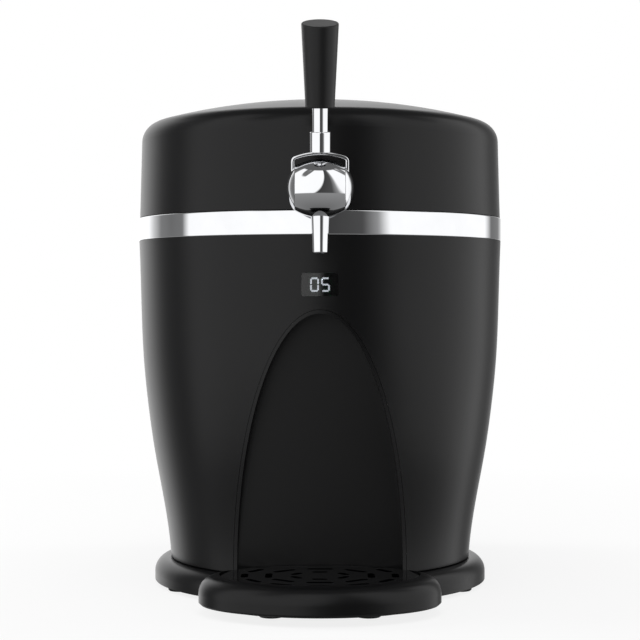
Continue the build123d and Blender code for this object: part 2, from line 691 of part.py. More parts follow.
def make_fan():
    """Axial fan: a square frame with a hub on struts, and a rotor that runs on the hub's shaft."""
    frame = block(-FAN_HALF, FAN_HALF, FAN_FRONT_Y, FAN_BACK_Y, COOLER_Z - FAN_HALF, COOLER_Z + FAN_HALF)
    frame = fillet(frame.edges().filter_by(Axis.Y), FAN_CORNER_R)
    frame = frame - along_y(FAN_BORE_R, 0, COOLER_Z, FAN_FRONT_Y - EPS, FAN_BACK_Y + EPS)
    hub_y = FAN_BACK_Y - FAN_HUB_T
    frame = frame + along_y(FAN_HUB_R, 0, COOLER_Z, hub_y, FAN_BACK_Y)
    for angle in FAN_STRUT_ANGLES:
        strut = Box(2 * FAN_BORE_R + EPS, FAN_HUB_T, FAN_STRUT_W)
        frame = frame + Pos(0, FAN_BACK_Y - FAN_HUB_T / 2, COOLER_Z) * Rot(0, angle, 0) * strut
    frame = frame + along_y(FAN_SHAFT_R, 0, COOLER_Z, FAN_FRONT_Y + FAN_INSET, hub_y + EPS)
    save("fan_frame", frame)

    rotor_y0 = FAN_FRONT_Y + FAN_INSET + RUN_GAP
    rotor_y1 = hub_y - RUN_GAP * 2
    depth = rotor_y1 - rotor_y0
    rotor = along_y(FAN_HUB_R, 0, COOLER_Z, rotor_y0, rotor_y1)
    chord = depth * FAN_BLADE_SHARE / math.cos(math.radians(FAN_PITCH))
    blade = Rot(0, 0, FAN_PITCH) * Box(FAN_BLADE_T, chord, FAN_BLADE_R - FAN_HUB_R + EPS)
    blade = Pos(0, 0, (FAN_BLADE_R + FAN_HUB_R - EPS) / 2) * blade
    for i in range(FAN_BLADES):
        placed = Pos(0, (rotor_y0 + rotor_y1) / 2, COOLER_Z) * Rot(0, 360 * i / FAN_BLADES, 0) * blade
        rotor = rotor + placed
    rotor = rotor & along_y(FAN_BLADE_R, 0, COOLER_Z, rotor_y0, rotor_y1)
    bore = along_y(FAN_SHAFT_R + PLUG_GAP, 0, COOLER_Z, rotor_y0 - EPS, rotor_y1 + EPS)
    save("fan_rotor", rotor - bore)


# ---- head ----
def make_head():
    """Upper shell, its inner liner, the hinge and the screws that hold the liner."""
    shank_hole = along_y(SHANK_R + RUN_GAP / 3, 0, TAP_Z, -FAR, 0)
    shell = head_solid(0, 0, HEAD_BOTTOM) - head_solid(WALL, WALL, HEAD_BOTTOM - EPS)
    save("head_shell", shell - shank_hole)

    drop = HEAD_SHOULDER_R - HEAD_LINER_R
    form = head_solid(drop, HEAD_LINER_DROP, HEAD_BOTTOM)
    flange_r = HEAD_BOTTOM_R - WALL - RUN_GAP
    flange = ring(flange_r, HEAD_LINER_R, HEAD_BOTTOM, HEAD_BOTTOM + HEAD_LINER_T)
    save("head_liner", form - head_inside() + flange - shank_hole)
    foam = head_solid(WALL + FOAM_GAP, WALL + FOAM_GAP, HEAD_BOTTOM)
    foam = foam - head_solid(drop - FOAM_GAP, HEAD_LINER_DROP - FOAM_GAP, HEAD_BOTTOM)
    foam = foam & block(-FAR, FAR, -FAR, FAR, HEAD_BOTTOM + HEAD_LINER_T + RUN_GAP, FAR)
    save("head_insulation", foam - along_y(SHANK_R + FOAM_GAP, 0, TAP_Z, -FAR, 0))
    make_hinge()


def head_inside():
    """The clear space inside the head's liner, as a filled solid."""
    drop = HEAD_SHOULDER_R - HEAD_LINER_R + HEAD_LINER_T
    return head_solid(drop, HEAD_LINER_DROP + HEAD_LINER_T, HEAD_BOTTOM - EPS)


def make_hinge():
    """Bracket on the rear housing, two arms on the head and the pin through them."""
    arms = []
    lugs = []
    for side in (-1, 1):
        x0 = side * HINGE_ARM_X - HINGE_ARM_W / 2
        x1 = side * HINGE_ARM_X + HINGE_ARM_W / 2
        arm = block(x0, x1, 0, HINGE_Y, HINGE_Z + SEAM, HINGE_Z + 2 * HINGE_KNUCKLE_R)
        arm = arm + along_x(HINGE_KNUCKLE_R, HINGE_Y, HINGE_Z, x0, x1)
        arm = arm + block(x0, x1, HINGE_Y - HINGE_KNUCKLE_R, HINGE_Y + HINGE_KNUCKLE_R, HINGE_Z,
                          HINGE_Z + HINGE_KNUCKLE_R)
        arm = arm - head_solid(0, 0, HEAD_BOTTOM)
        arm = arm - along_x(HINGE_PIN_R + PLUG_GAP, HINGE_Y, HINGE_Z, -FAR, FAR)
        arms.append(arm)
        for end in (x0 - RUN_GAP - HINGE_LUG_W, x1 + RUN_GAP):
            lug = along_x(HINGE_KNUCKLE_R, HINGE_Y, HINGE_Z, end, end + HINGE_LUG_W)
            lug = lug + block(end, end + HINGE_LUG_W, HINGE_Y - HINGE_KNUCKLE_R,
                              HINGE_Y + HINGE_KNUCKLE_R, REAR_TOP, HINGE_Z)
            lugs.append(lug - along_x(HINGE_PIN_R, HINGE_Y, HINGE_Z, -FAR, FAR))
    save("hinge_arms", Compound(arms))
    reach = HINGE_ARM_X + HINGE_ARM_W / 2 + RUN_GAP + HINGE_LUG_W
    foot_plate = block(-reach, reach, HINGE_Y - HINGE_KNUCKLE_R, HINGE_Y + HINGE_FOOT_D, REAR_TOP,
                       REAR_TOP + HINGE_FOOT_T)
    for lug in lugs:
        foot_plate = foot_plate + lug
    save("hinge_bracket", foot_plate)
    x = HINGE_ARM_X - HINGE_ARM_W
    places = [(side * x, HINGE_Y + HINGE_FOOT_D / 2, REAR_TOP + HINGE_FOOT_T) for side in (-1, 1)]
    screw_group("hinge_screws", places, (0, 0, 1))
    save("hinge_pin", along_x(HINGE_PIN_R, HINGE_Y, HINGE_Z, -reach - EPS, reach + EPS))


# ---- tap ----
def bowed_drum(half_width, middle_r, seam_r):
    """A drum about the X axis whose side bows out in the middle."""
    side = ThreePointArc((-half_width, seam_r, 0), (0, middle_r, 0), (half_width, seam_r, 0))
    rest = Polyline((half_width, seam_r, 0), (half_width, 0, 0), (-half_width, 0, 0),
                    (-half_width, seam_r, 0))
    return revolve(make_face([side, rest]), Axis.X)


def make_tap():
    """Tap body, shank, nut, rosette, spout, hose and keg connector."""
    centre = Pos(0, TAP_Y, TAP_Z)
    shell_y = -HEAD_BOTTOM_R
    body = centre * bowed_drum(SLAB_HALF_W, SLAB_MID_R, SLAB_SEAM_R)
    body = body + along_y(SHANK_R, 0, TAP_Z, TAP_Y + PLUG_R, shell_y - ROSETTE_T)
    body = body - along_x(PLUG_R + PLUG_GAP, TAP_Y, TAP_Z, -FAR, FAR)
    body = body - along_y(SHANK_BORE_R, 0, TAP_Z, TAP_Y, 0)
    body = body - upright(BEER_BORE_R, 0, TAP_Y, 0, TAP_Z)
    save("tap_body", body)

    rosette = along_y(ROSETTE_R, 0, TAP_Z, shell_y - ROSETTE_T, 0) - head_solid(0, 0, HEAD_BOTTOM)
    save("tap_rosette", rosette - along_y(SHANK_R, 0, TAP_Z, -FAR, 0))
    shank = along_y(SHANK_R, 0, TAP_Z, shell_y - ROSETTE_T, SHANK_END_Y)
    shank = shank + along_y(BARB_R, 0, TAP_Z, SHANK_END_Y, SHANK_END_Y + BARB_L)
    save("tap_shank", shank - along_y(SHANK_BORE_R, 0, TAP_Z, -FAR, 0))
    nut = Pos(0, 0, TAP_Z) * Rot(90, 0, 0) * extrude(RegularPolygon(NUT_R, 6), NUT_T, both=True)
    nut = Pos(0, -HEAD_LINER_R + HEAD_LINER_T, 0) * nut & head_inside()
    save("shank_nut", nut - along_y(SHANK_R, 0, TAP_Z, -FAR, 0))
    make_spout()
    make_hose()


def make_spout():
    """Spout with its collar ring under the tap body."""
    top_z = TAP_Z - PLUG_R
    outline = Polyline((0, 0, SPOUT_TIP_Z), (SPOUT_TIP_R, 0, SPOUT_TIP_Z),
                       (SPOUT_TIP_R, 0, SPOUT_TIP_Z + SPOUT_TIP_L), (SPOUT_TOP_R, 0, SPOUT_ROOT_Z),
                       (SPOUT_TOP_R, 0, top_z), (0, 0, top_z), close=True)
    spout = Pos(0, TAP_Y, 0) * revolve(make_face(outline), Axis.Z)
    drum = Pos(0, TAP_Y, TAP_Z) * bowed_drum(SLAB_HALF_W, SLAB_MID_R, SLAB_SEAM_R)
    spout = spout - drum - upright(BEER_BORE_R, 0, TAP_Y, 0, FAR)
    lower = spout.solids().sort_by(Axis.Z)[0]
    save("spout", lower)


def bend_radii(points):
    """For each inner corner, the largest arc that its two runs allow."""
    radii = []
    for before, corner, after in zip(points, points[1:], points[2:]):
        first = Vector(*corner) - Vector(*before)
        second = Vector(*after) - Vector(*corner)
        half_turn = math.radians(first.get_angle(second)) / 2
        radii.append(HOSE_ARC_SHARE * min(first.length, second.length) / math.tan(half_turn))
    return radii


def make_hose():
    """Beer hose from the shank's barb to the keg connector, which is parked in a clip on the liner."""
    start = SHANK_END_Y + BARB_L
    spread = HEAD_LINER_R / HOSE_FIT_R
    route = [(x * spread, start + y * spread, TAP_Z + z) for x, y, z in HOSE_ROUTE]
    points = [(0, start, TAP_Z), *route]
    path = FilletPolyline(*points, radius=bend_radii(points))
    save("beer_hose", sweep(Plane(origin=points[0], z_dir=(0, 1, 0)) * Circle(HOSE_R), path=path))

    last = Vector(*points[-1])
    run = (last - Vector(*points[-2])).normalized()
    frame = Plane(origin=last, z_dir=run)
    plug = Pos(0, 0, CONNECTOR_L / 2) * Cylinder(CONNECTOR_R, CONNECTOR_L)
    grip_l = CONNECTOR_L * CONNECTOR_GRIP_SHARE
    grip = Pos(0, 0, grip_l) * Cylinder(CONNECTOR_R + CONNECTOR_GRIP_STEP, grip_l)
    nose = Pos(0, 0, CONNECTOR_L + CONNECTOR_NOSE_L / 2) * Cylinder(CONNECTOR_NOSE_R, CONNECTOR_NOSE_L)
    save("keg_connector", frame.location * (plug + grip + nose))

    middle = last + run * (CONNECTOR_L * CLIP_SHARE)
    hold = Pos(0, 0, CONNECTOR_L * CLIP_SHARE) * Cylinder(CONNECTOR_R + CLIP_WALL, CLIP_L)
    hold = frame.location * hold
    half_l = CLIP_L / 2
    web = block(middle.X - FAR, middle.X - CONNECTOR_R, middle.Y - half_l, middle.Y + half_l,
                middle.Z - half_l, middle.Z + half_l)
    bore = frame.location * Cylinder(CONNECTOR_R + PLUG_GAP, FAR)
    save("connector_clip", ((hold + web) & head_inside()) - bore)


# ---- lever ----
def lever_frame():
    """The lever's own frame: its Z runs up the handle, X along the pivot."""
    return Pos(0, TAP_Y, TAP_Z) * Rot(LEVER_LEAN, 0, 0)


def ball_slice(x0, x1, bore, depth):
    """A slice of the tap's ball between two distances along X, with a bore of some depth from x0."""
    def edge(x):
        return math.sqrt(max(CAP_SPHERE_R ** 2 - x ** 2, 0))

    middle = (x0 + x1) / 2
    rim = ThreePointArc((x0, edge(x0), 0), (middle, edge(middle), 0), (x1, edge(x1), 0))
    corners = [(x1, edge(x1), 0), (x1, 0, 0)] if edge(x1) > 0 else [(x1, 0, 0)]
    if depth < x1 - x0:
        corners += [(x0 + depth, 0, 0), (x0 + depth, bore, 0), (x0, bore, 0), (x0, edge(x0), 0)]
    else:
        corners = [(x1, edge(x1), 0), (x1, bore, 0), (x0, bore, 0), (x0, edge(x0), 0)]
    piece = revolve(make_face([rim, Polyline(*corners)]), Axis.X)
    return [piece, mirror(piece, Plane.YZ)]


def make_yoke():
    """The forked casting over the tap body: a crowned bridge and two arms with eyes."""
    shoulder_z = YOKE_CROWN_R - YOKE_CROWN_DROP
    half_w = YOKE_HALF_W
    outer_top = ThreePointArc((-half_w, 0, shoulder_z), (0, 0, YOKE_CROWN_R), (half_w, 0, shoulder_z))
    outer_rest = Polyline((half_w, 0, shoulder_z), (half_w, 0, 0), (-half_w, 0, 0),
                          (-half_w, 0, shoulder_z))
    outer = make_face([outer_top, outer_rest])
    outer = fillet(outer.vertices().sort_by(Axis.Z)[-2:], YOKE_CORNER_R)
    inner_w = half_w - YOKE_ARM_T
    inner_z = shoulder_z - YOKE_CROWN_T
    crown_z = YOKE_CROWN_R - YOKE_CROWN_T
    inner_top = ThreePointArc((-inner_w, 0, inner_z), (0, 0, crown_z), (inner_w, 0, inner_z))
    inner_rest = Polyline((inner_w, 0, inner_z), (inner_w, 0, -EPS), (-inner_w, 0, -EPS),
                          (-inner_w, 0, inner_z))
    inner = make_face([inner_top, inner_rest])
    bridge = extrude(outer - inner, YOKE_DEPTH / 2, both=True)
    bridge = bridge - along_x(PLUG_R + EPS, 0, 0, -FAR, FAR)
    for eye in ball_slice(inner_w, YOKE_HALF_W, PLUG_R, FAR):
        bridge = bridge + eye
    return bridge


def make_lever():
    """Everything that swings with the handle."""
    place = lever_frame()
    yoke = make_yoke()
    save("tap_yoke", place * yoke)

    caps = ball_slice(YOKE_HALF_W, CAP_SPHERE_R, PLUG_R, CAP_SEAT)
    save("pivot_caps", place * Compound(caps))

    plug = along_x(PLUG_R, 0, 0, -YOKE_HALF_W - CAP_SEAT, YOKE_HALF_W + CAP_SEAT)
    turn = Rot(-LEVER_LEAN - LEVER_TRAVEL, 0, 0)
    passage = upright(BEER_BORE_R, 0, 0, -FAR, 0) + along_y(BEER_BORE_R, 0, 0, -BEER_BORE_R, FAR)
    save("valve_plug", place * (plug - turn * passage))

    collar = upright(COLLAR_R, 0, 0, YOKE_CROWN_R - YOKE_CROWN_T, COLLAR_END)
    collar = fillet(collar.edges().filter_by(GeomType.CIRCLE).sort_by(Axis.Z)[-1], COLLAR_ROUND) - yoke
    save("lever_collar", place * collar.solids().sort_by(Axis.Z)[-1])
    save("lever_stem", place * upright(STEM_R, 0, 0, COLLAR_END, STEM_END + STEM_IN_GRIP))
    ferrule = upright(FERRULE_R, 0, 0, STEM_END, STEM_END + FERRULE_L)
    save("grip_ferrule", place * (ferrule - upright(STEM_R, 0, 0, 0, FAR)))
    flare = (GRIP_TOP_R - GRIP_LOW_R) / (GRIP_END - STEM_END)
    blank_end = GRIP_END + GRIP_TOP_R
    blank_r = GRIP_TOP_R + flare * GRIP_TOP_R
    outline = Polyline((0, 0, STEM_END), (GRIP_LOW_R, 0, STEM_END), (blank_r, 0, blank_end),
                       (0, 0, blank_end), close=True)
    cutter = Pos(0, 0, GRIP_END) * Rot(GRIP_CUT, 0, 0) * Pos(0, 0, FAR / 2) * Box(FAR, FAR, FAR)
    grip = revolve(make_face(outline), Axis.Z) - cutter
    ends = grip.faces().sort_by(Axis.Z)
    grip = fillet([*ends[0].edges(), *ends[-1].edges()], GRIP_ROUND)
    grip = grip - upright(STEM_R, 0, 0, 0, STEM_END + STEM_IN_GRIP)
    save("handle_grip", place * (grip - ferrule))


# ---- drip tray and grille ----
def make_tray():
    """Oval drip tray cut off flat at the back, with a ledge for the grille and a basin below it."""
    body = oval(TRAY_A, TRAY_B, TRAY_Y, TRAY_BOTTOM, TRAY_TOP)
    rims = body.edges().sort_by(Axis.Z)
    body = fillet(rims[-1], TRAY_ROUND)
    body = chamfer(body.edges().sort_by(Axis.Z)[0], TRAY_BEVEL)
    body = body & block(-FAR, FAR, -FAR, TRAY_BACK_Y, 0, FAR)
    floor_z = TRAY_BOTTOM + TRAY_FLOOR_T
    basin = oval(TRAY_RIM_A - TRAY_LEDGE, TRAY_RIM_B - TRAY_LEDGE, GRILLE_Y, floor_z, FAR)
    recess = oval(TRAY_RIM_A, TRAY_RIM_B, GRILLE_Y, GRILLE_Z, FAR)
    basin = basin & block(-FAR, FAR, -FAR, TRAY_BACK_Y - WALL - TRAY_LEDGE / 2, 0, FAR)
    recess = recess & block(-FAR, FAR, -FAR, TRAY_BACK_Y - WALL / 2, 0, FAR)
    save("drip_tray", body - basin - recess)


def make_grille():
    """Removable grille with rings of slots."""
    plate = oval(GRILLE_A, GRILLE_B, GRILLE_Y, GRILLE_Z, GRILLE_Z + GRILLE_T)
    plate = plate & block(-FAR, FAR, -FAR, TRAY_BACK_Y - WALL / 2 - SEAM, 0, FAR)
    for reach, count, length in zip(GRILLE_RING_A, GRILLE_RING_COUNT, GRILLE_SLOT_L):
        for i in range(count):
            turn = 2 * math.pi * i / count - math.pi / 2
            x = reach * math.cos(turn)
            y = reach * GRILLE_RING_RATIO * math.sin(turn)
            if GRILLE_Y + y > TRAY_BACK_Y - WALL - GRILLE_EDGE:
                continue
            heading = math.degrees(math.atan2(GRILLE_RING_RATIO * math.cos(turn), -math.sin(turn)))
            slot = Rot(0, 0, heading) * SlotOverall(length, GRILLE_SLOT_W)
            plate = plate - extrude(Pos(x, GRILLE_Y + y, GRILLE_Z) * slot, GRILLE_T)
    save("drip_grille", plate)


def main():
    os.makedirs("parts", exist_ok=True)
    make_base()
    make_barrel()
    make_display()
    make_top()
    make_rear()
    make_cooler()
    make_head()
    make_tap()
    make_lever()
    make_tray()
    make_grille()


main()
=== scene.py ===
"""Dresses the mini keg beer dispenser: gives every piece its finish, models the turned and rounded
trim that catches the light, and sets the machine on a plain studio floor."""

import json
import math

import bmesh
import bpy
from mathutils import Matrix, Vector


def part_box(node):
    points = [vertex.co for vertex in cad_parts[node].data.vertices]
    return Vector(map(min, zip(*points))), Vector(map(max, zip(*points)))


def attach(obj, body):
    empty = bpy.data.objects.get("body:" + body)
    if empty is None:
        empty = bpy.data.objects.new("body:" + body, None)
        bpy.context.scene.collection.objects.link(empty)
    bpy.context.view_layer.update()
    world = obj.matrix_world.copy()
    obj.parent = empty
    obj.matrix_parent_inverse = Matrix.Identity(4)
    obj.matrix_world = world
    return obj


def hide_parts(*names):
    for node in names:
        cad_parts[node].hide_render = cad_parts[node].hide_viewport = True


bl_info = {
    "name": "Mini Keg Beer Dispenser",
    "version": (1, 0, 0),
    "blender": (4, 5, 0),
    "location": "View3D > Sidebar > Dispenser",
    "description": "Finishes, turned trim and studio for a mini keg beer dispenser",
    "category": "Object",
}

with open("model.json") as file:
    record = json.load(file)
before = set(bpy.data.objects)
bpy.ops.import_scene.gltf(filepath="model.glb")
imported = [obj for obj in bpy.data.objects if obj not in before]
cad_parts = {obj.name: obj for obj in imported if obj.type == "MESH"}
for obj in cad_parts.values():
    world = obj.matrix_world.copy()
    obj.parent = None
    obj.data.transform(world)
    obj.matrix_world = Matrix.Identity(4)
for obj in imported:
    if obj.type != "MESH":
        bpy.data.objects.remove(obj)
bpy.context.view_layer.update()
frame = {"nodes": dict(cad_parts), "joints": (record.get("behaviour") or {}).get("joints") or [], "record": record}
NODES = frame["nodes"]
MM = 0.001
MERGE = MM / 1000
ON_PLANE = MM / 100

# ---- sizes read from the frame ----
BAND_LOW, BAND_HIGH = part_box("chrome_band")
AXIS_Y = (BAND_LOW.y + BAND_HIGH.y) / 2
BAND_R = (BAND_HIGH.x - BAND_LOW.x) / 2
SPOUT_LOW, SPOUT_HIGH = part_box("spout")
TAP_Y = (SPOUT_LOW.y + SPOUT_HIGH.y) / 2
LEVER = next(j for j in frame["joints"] if j["name"] == "tap_lever")
PIVOT = Vector(LEVER["pos_m"])
STEM_LOW, STEM_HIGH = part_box("lever_stem")
STEM_MIDDLE = (STEM_LOW + STEM_HIGH) / 2 - PIVOT
LEAN = math.atan2(-STEM_MIDDLE.y, STEM_MIDDLE.z)
LEVER_PLACE = Matrix.Translation(PIVOT) @ Matrix.Rotation(LEAN, 4, "X")
ACROSS = Matrix.Translation(PIVOT) @ Matrix.Rotation(math.pi / 2, 4, "Y")
ON_AXIS = Matrix.Translation((0, AXIS_Y, 0))


# ---- small tools ----
# the sRGB curve: straight below its knee, a power above it
SRGB_KNEE = 0.04045
SRGB_SLOPE = 12.92
SRGB_LIFT = 0.055
SRGB_POWER = 2.4

# sockets of a mix node that share their names: two colours, two numbers, and the mixed colour
MIX_COLOUR_A = 6
MIX_COLOUR_B = 7
MIX_NUMBER_A = 2
MIX_NUMBER_B = 3
MIX_COLOUR_OUT = 2

PATCH_DETAIL = 3.0
RELIEF_DETAIL = 2.0
SMOOTH_BELOW = math.radians(35)


def linear(value):
    """One sRGB hex colour as linear RGBA."""
    channels = [int(value[i:i + 2], 16) / 255 for i in (1, 3, 5)]
    curve = [c / SRGB_SLOPE if c <= SRGB_KNEE else ((c + SRGB_LIFT) / (1 + SRGB_LIFT)) ** SRGB_POWER
             for c in channels]
    return curve + [1.0]


def grain(size_mm):
    """The texture scale whose features are about so many millimetres across."""
    return 1 / (size_mm * MM)


def add_node(tree, kind, settings=None, links=None):
    """A node with its settings and input values, and links of input name to (node, output)."""
    made = tree.nodes.new(kind)
    for name, value in (settings or {}).items():
        if isinstance(name, int) or name in made.inputs:
            made.inputs[name].default_value = value
        else:
            setattr(made, name, value)
    for name, (source, output) in (links or {}).items():
        tree.links.new(source.outputs[output], made.inputs[name])
    return made


def bare_tree(owner):
    """The emptied node tree of a material or a world."""
    owner.use_nodes = True
    owner.node_tree.nodes.clear()
    return owner.node_tree


def feed(tree, socket, value):
    """Gives a socket a value, or links it to a (node, output) pair."""
    if isinstance(value, tuple):
        tree.links.new(value[0].outputs[value[1]], socket)
    else:
        socket.default_value = value


def reckon(tree, operation, *values):
    """A sum on numbers and (node, output) pairs, as a (node, output) pair."""
    made = add_node(tree, "ShaderNodeMath", {"operation": operation})
    for socket, value in zip(made.inputs, values):
        feed(tree, socket, value)
    return made, 0


def remap(tree, value, before, after=(0.0, 1.0)):
    """Moves a value from one range to another and holds it at the ends, as a (node, output) pair."""
    made = add_node(tree, "ShaderNodeMapRange", {"From Min": before[0], "From Max": before[1],
                    "To Min": after[0], "To Max": after[1]}, {"Value": value})
    return made, "Result"


def blend(tree, share, first, second):
    """Two colours, each a list or a (node, output) pair, mixed by a share."""
    made = add_node(tree, "ShaderNodeMix", {"data_type": "RGBA"}, {0: share})
    feed(tree, made.inputs[MIX_COLOUR_A], first)
    feed(tree, made.inputs[MIX_COLOUR_B], second)
    return made, MIX_COLOUR_OUT


def surface(name, pale, deep, patch_mm, rough, rough_spread, bump_mm, bump_depth_mm, sockets=None):
    """A solid finish: two close colours drifting in patches of a width, a roughness that wanders by a
    spread, and a fine relief of a width and depth. Every pattern sits on the object's own coordinates."""
    material = bpy.data.materials.new(name)
    tree = bare_tree(material)
    place = add_node(tree, "ShaderNodeTexCoord")
    patches = add_node(tree, "ShaderNodeTexNoise", {"Scale": grain(patch_mm), "Detail": PATCH_DETAIL},
                       {"Vector": (place, "Object")})
    relief = add_node(tree, "ShaderNodeTexNoise", {"Scale": grain(bump_mm), "Detail": RELIEF_DETAIL},
                      {"Vector": (place, "Object")})
    tint = blend(tree, (patches, "Fac"), linear(pale), linear(deep))
    dull = remap(tree, (patches, "Fac"), (0.0, 1.0), (rough - rough_spread, rough + rough_spread))
    bump = add_node(tree, "ShaderNodeBump", {"Strength": 1.0, "Distance": bump_depth_mm * MM},
                    {"Height": (relief, "Fac")})
    shader = add_node(tree, "ShaderNodeBsdfPrincipled", sockets,
                      {"Base Color": tint, "Roughness": dull, "Normal": (bump, "Normal")})
    add_node(tree, "ShaderNodeOutputMaterial", None, {"Surface": (shader, "BSDF")})
    return material


# ---- finishes ----
def satin_abs(look):
    """Injection moulded ABS with a fine spark-eroded texture: near black, with soft wide highlights."""
    return surface("satin black ABS", look.shell_black, "#0C0C0D", 60, 0.30, 0.02, 0.9, 0.004,
                   {"IOR": 1.53, "Specular IOR Level": 0.22})


def plain_abs(look):
    """Black ABS from a plainer tool, for the base, duct and fan: a little smoother than the shell."""
    return surface("plain black ABS", "#121213", "#0C0C0D", 40, 0.38, 0.03, 1.4, 0.008, {"IOR": 1.53})


def gloss_abs(look):
    """Polished-tool black ABS: a deep black with sharp reflections."""
    return surface("polished black ABS", look.gloss_black, "#050506", 45, 0.10, 0.02, 3.0, 0.002,
                   {"IOR": 1.53})


def soft_touch(look):
    """Soft-touch paint over ABS on the handle: satin, with a faint grey bloom at grazing angles."""
    return surface("soft-touch black paint", look.grip_black, "#111112", 25, 0.40, 0.03, 0.7, 0.008,
                   {"IOR": 1.47, "Specular IOR Level": 0.3, "Sheen Weight": 0.04, "Sheen Roughness": 0.5})


def chrome_plate(look):
    """Bright chrome plating on polished castings: a near-perfect mirror with the least orange peel."""
    return surface("polished chrome plate", look.chrome, "#DADBDD", 18, 0.022, 0.006, 9.0, 0.0008,
                   {"Metallic": 1.0})


def spun_aluminium(look):
    """Spun aluminium well: satin metal with fine turning marks round the wall."""
    return surface("spun aluminium", "#C9CACC", "#BABBBE", 30, 0.34, 0.05, 1.1, 0.01, {"Metallic": 1.0})


def extruded_aluminium(look):
    """Plain extruded aluminium of the heat sink: dull silver with die lines."""
    return surface("extruded aluminium", "#B4B6B9", "#A2A4A8", 12, 0.42, 0.06, 0.8, 0.012, {"Metallic": 1.0})


def zinc_steel(look):
    """Zinc plated steel of the screws, nut and pins: bright grey, slightly clouded."""
    return surface("zinc plated steel", "#B9BBBD", "#9FA2A6", 3, 0.30, 0.06, 0.6, 0.006, {"Metallic": 1.0})


def black_rubber(look):
    """Moulded rubber feet: dark, dry and matte."""
    return surface("black rubber", "#1B1B1B", "#141414", 8, 0.78, 0.04, 0.8, 0.03, {"IOR": 1.50})


def pale_silicone(look):
    """Food-grade silicone of the hose and the lid seal: milky grey with a soft glow below the skin."""
    return surface("milky silicone", "#C4C6C6", "#B4B7B8", 15, 0.40, 0.04, 2.0, 0.01,
                   {"IOR": 1.41, "Subsurface Weight": 0.25, "Subsurface Scale": 0.002})


def bead_foam(look):
    """Expanded polystyrene: white beads pressed together, matte with a pebbled skin."""
    return surface("expanded polystyrene", "#ECECE6", "#DCDCD4", 4, 0.82, 0.04, 4.0, 0.25, {"IOR": 1.50})


def grey_abs(look):
    """Grey moulded ABS of the deck and the head's liner: satin, easy to wipe."""
    return surface("grey satin ABS", look.liner_grey, "#8C8D90", 50, 0.42, 0.03, 1.2, 0.01, {"IOR": 1.53})


def white_alumina(look):
    """Alumina face of the peltier module: chalky white ceramic."""
    return surface("white alumina", "#EDECE8", "#E2E1DC", 6, 0.55, 0.05, 0.7, 0.01, {"IOR": 1.76})


def board_laminate(look):
    """Solder-masked circuit board: green lacquer over glass weave."""
    return surface("green board laminate", "#1C5A38", "#174A2E", 9, 0.28, 0.05, 1.5, 0.01, {"IOR": 1.50})


def smoked_acrylic(look):
    """Smoked acrylic display window: dark glass that lets the lit digits through."""
    return surface("smoked acrylic", "#3C3C3E", "#38383A", 30, 0.05, 0.01, 20.0, 0.001,
                   {"IOR": 1.49, "Transmission Weight": 0.98, "Specular IOR Level": 0.12})


def lit_bars(look):
    """White light-guide bars of the digits, lit from behind in two close cool whites."""
    material = surface("lit white light guide", "#E8ECEE", "#DDE3E6", 3, 0.5, 0.05, 1.0, 0.01)
    tree = material.node_tree
    shader = next(n for n in tree.nodes if n.type == "BSDF_PRINCIPLED")
    tint = next(n for n in tree.nodes if n.type == "MIX")
    tree.links.new(tint.outputs[MIX_COLOUR_OUT], shader.inputs["Emission Color"])
    shader.inputs["Emission Strength"].default_value = look.digit_glow
    return material


FINISHES = {
    "black_plastic": satin_abs,
    "dark_plastic": plain_abs,
    "gloss_black": gloss_abs,
    "chrome": chrome_plate,
    "aluminium": spun_aluminium,
    "anodised": extruded_aluminium,
    "steel": zinc_steel,
    "rubber": black_rubber,
    "silicone": pale_silicone,
    "foam": bead_foam,
    "liner_plastic": grey_abs,
    "ceramic_white": white_alumina,
    "board_green": board_laminate,
    "window_smoke": smoked_acrylic,
    "lit_digits": lit_bars,
}


def wear(piece, material):
    """Gives a piece one material in place of any it came with."""
    piece.data.materials.clear()
    piece.data.materials.append(material)


def spun(outline, steps):
    """A closed solid turned about its own upright axis from (radius, height) points in metres. The
    outline runs from axis to axis, or round in a loop for a ring."""
    mesh = bmesh.new()
    corners = [mesh.verts.new((radius, 0, height)) for radius, height in outline]
    edges = [mesh.edges.new(pair) for pair in zip(corners, corners[1:])]
    if outline[0][0] > 0:
        edges.append(mesh.edges.new((corners[-1], corners[0])))
    bmesh.ops.spin(mesh, geom=corners + edges, cent=(0, 0, 0), axis=(0, 0, 1), angle=2 * math.pi,
                   steps=steps, use_merge=True)
    bmesh.ops.remove_doubles(mesh, verts=mesh.verts, dist=MERGE)
    return mesh


def turned(name, outline, place, steps):
    """A turned piece, set in its place."""
    mesh = spun(outline, steps)
    bmesh.ops.transform(mesh, matrix=place, verts=mesh.verts)
    return finished(name, mesh)


def finished(name, mesh):
    """Turns a bmesh into a piece with outward faces, smooth but for its true edges. The large faces
    set the shading, so a long wall stays straight up to its rounded edge."""
    bmesh.ops.recalc_face_normals(mesh, faces=mesh.faces)
    for face in mesh.faces:
        face.smooth = True
    for edge in mesh.edges:
        edge.smooth = len(edge.link_faces) == 2 and edge.calc_face_angle(0) < SMOOTH_BELOW
    data = bpy.data.meshes.new(name)
    mesh.to_mesh(data)
    mesh.free()
    piece = bpy.data.objects.new(name, data)
    bpy.context.scene.collection.objects.link(piece)
    weigh = piece.modifiers.new("wall shading", "WEIGHTED_NORMAL")
    weigh.keep_sharp = True
    return piece


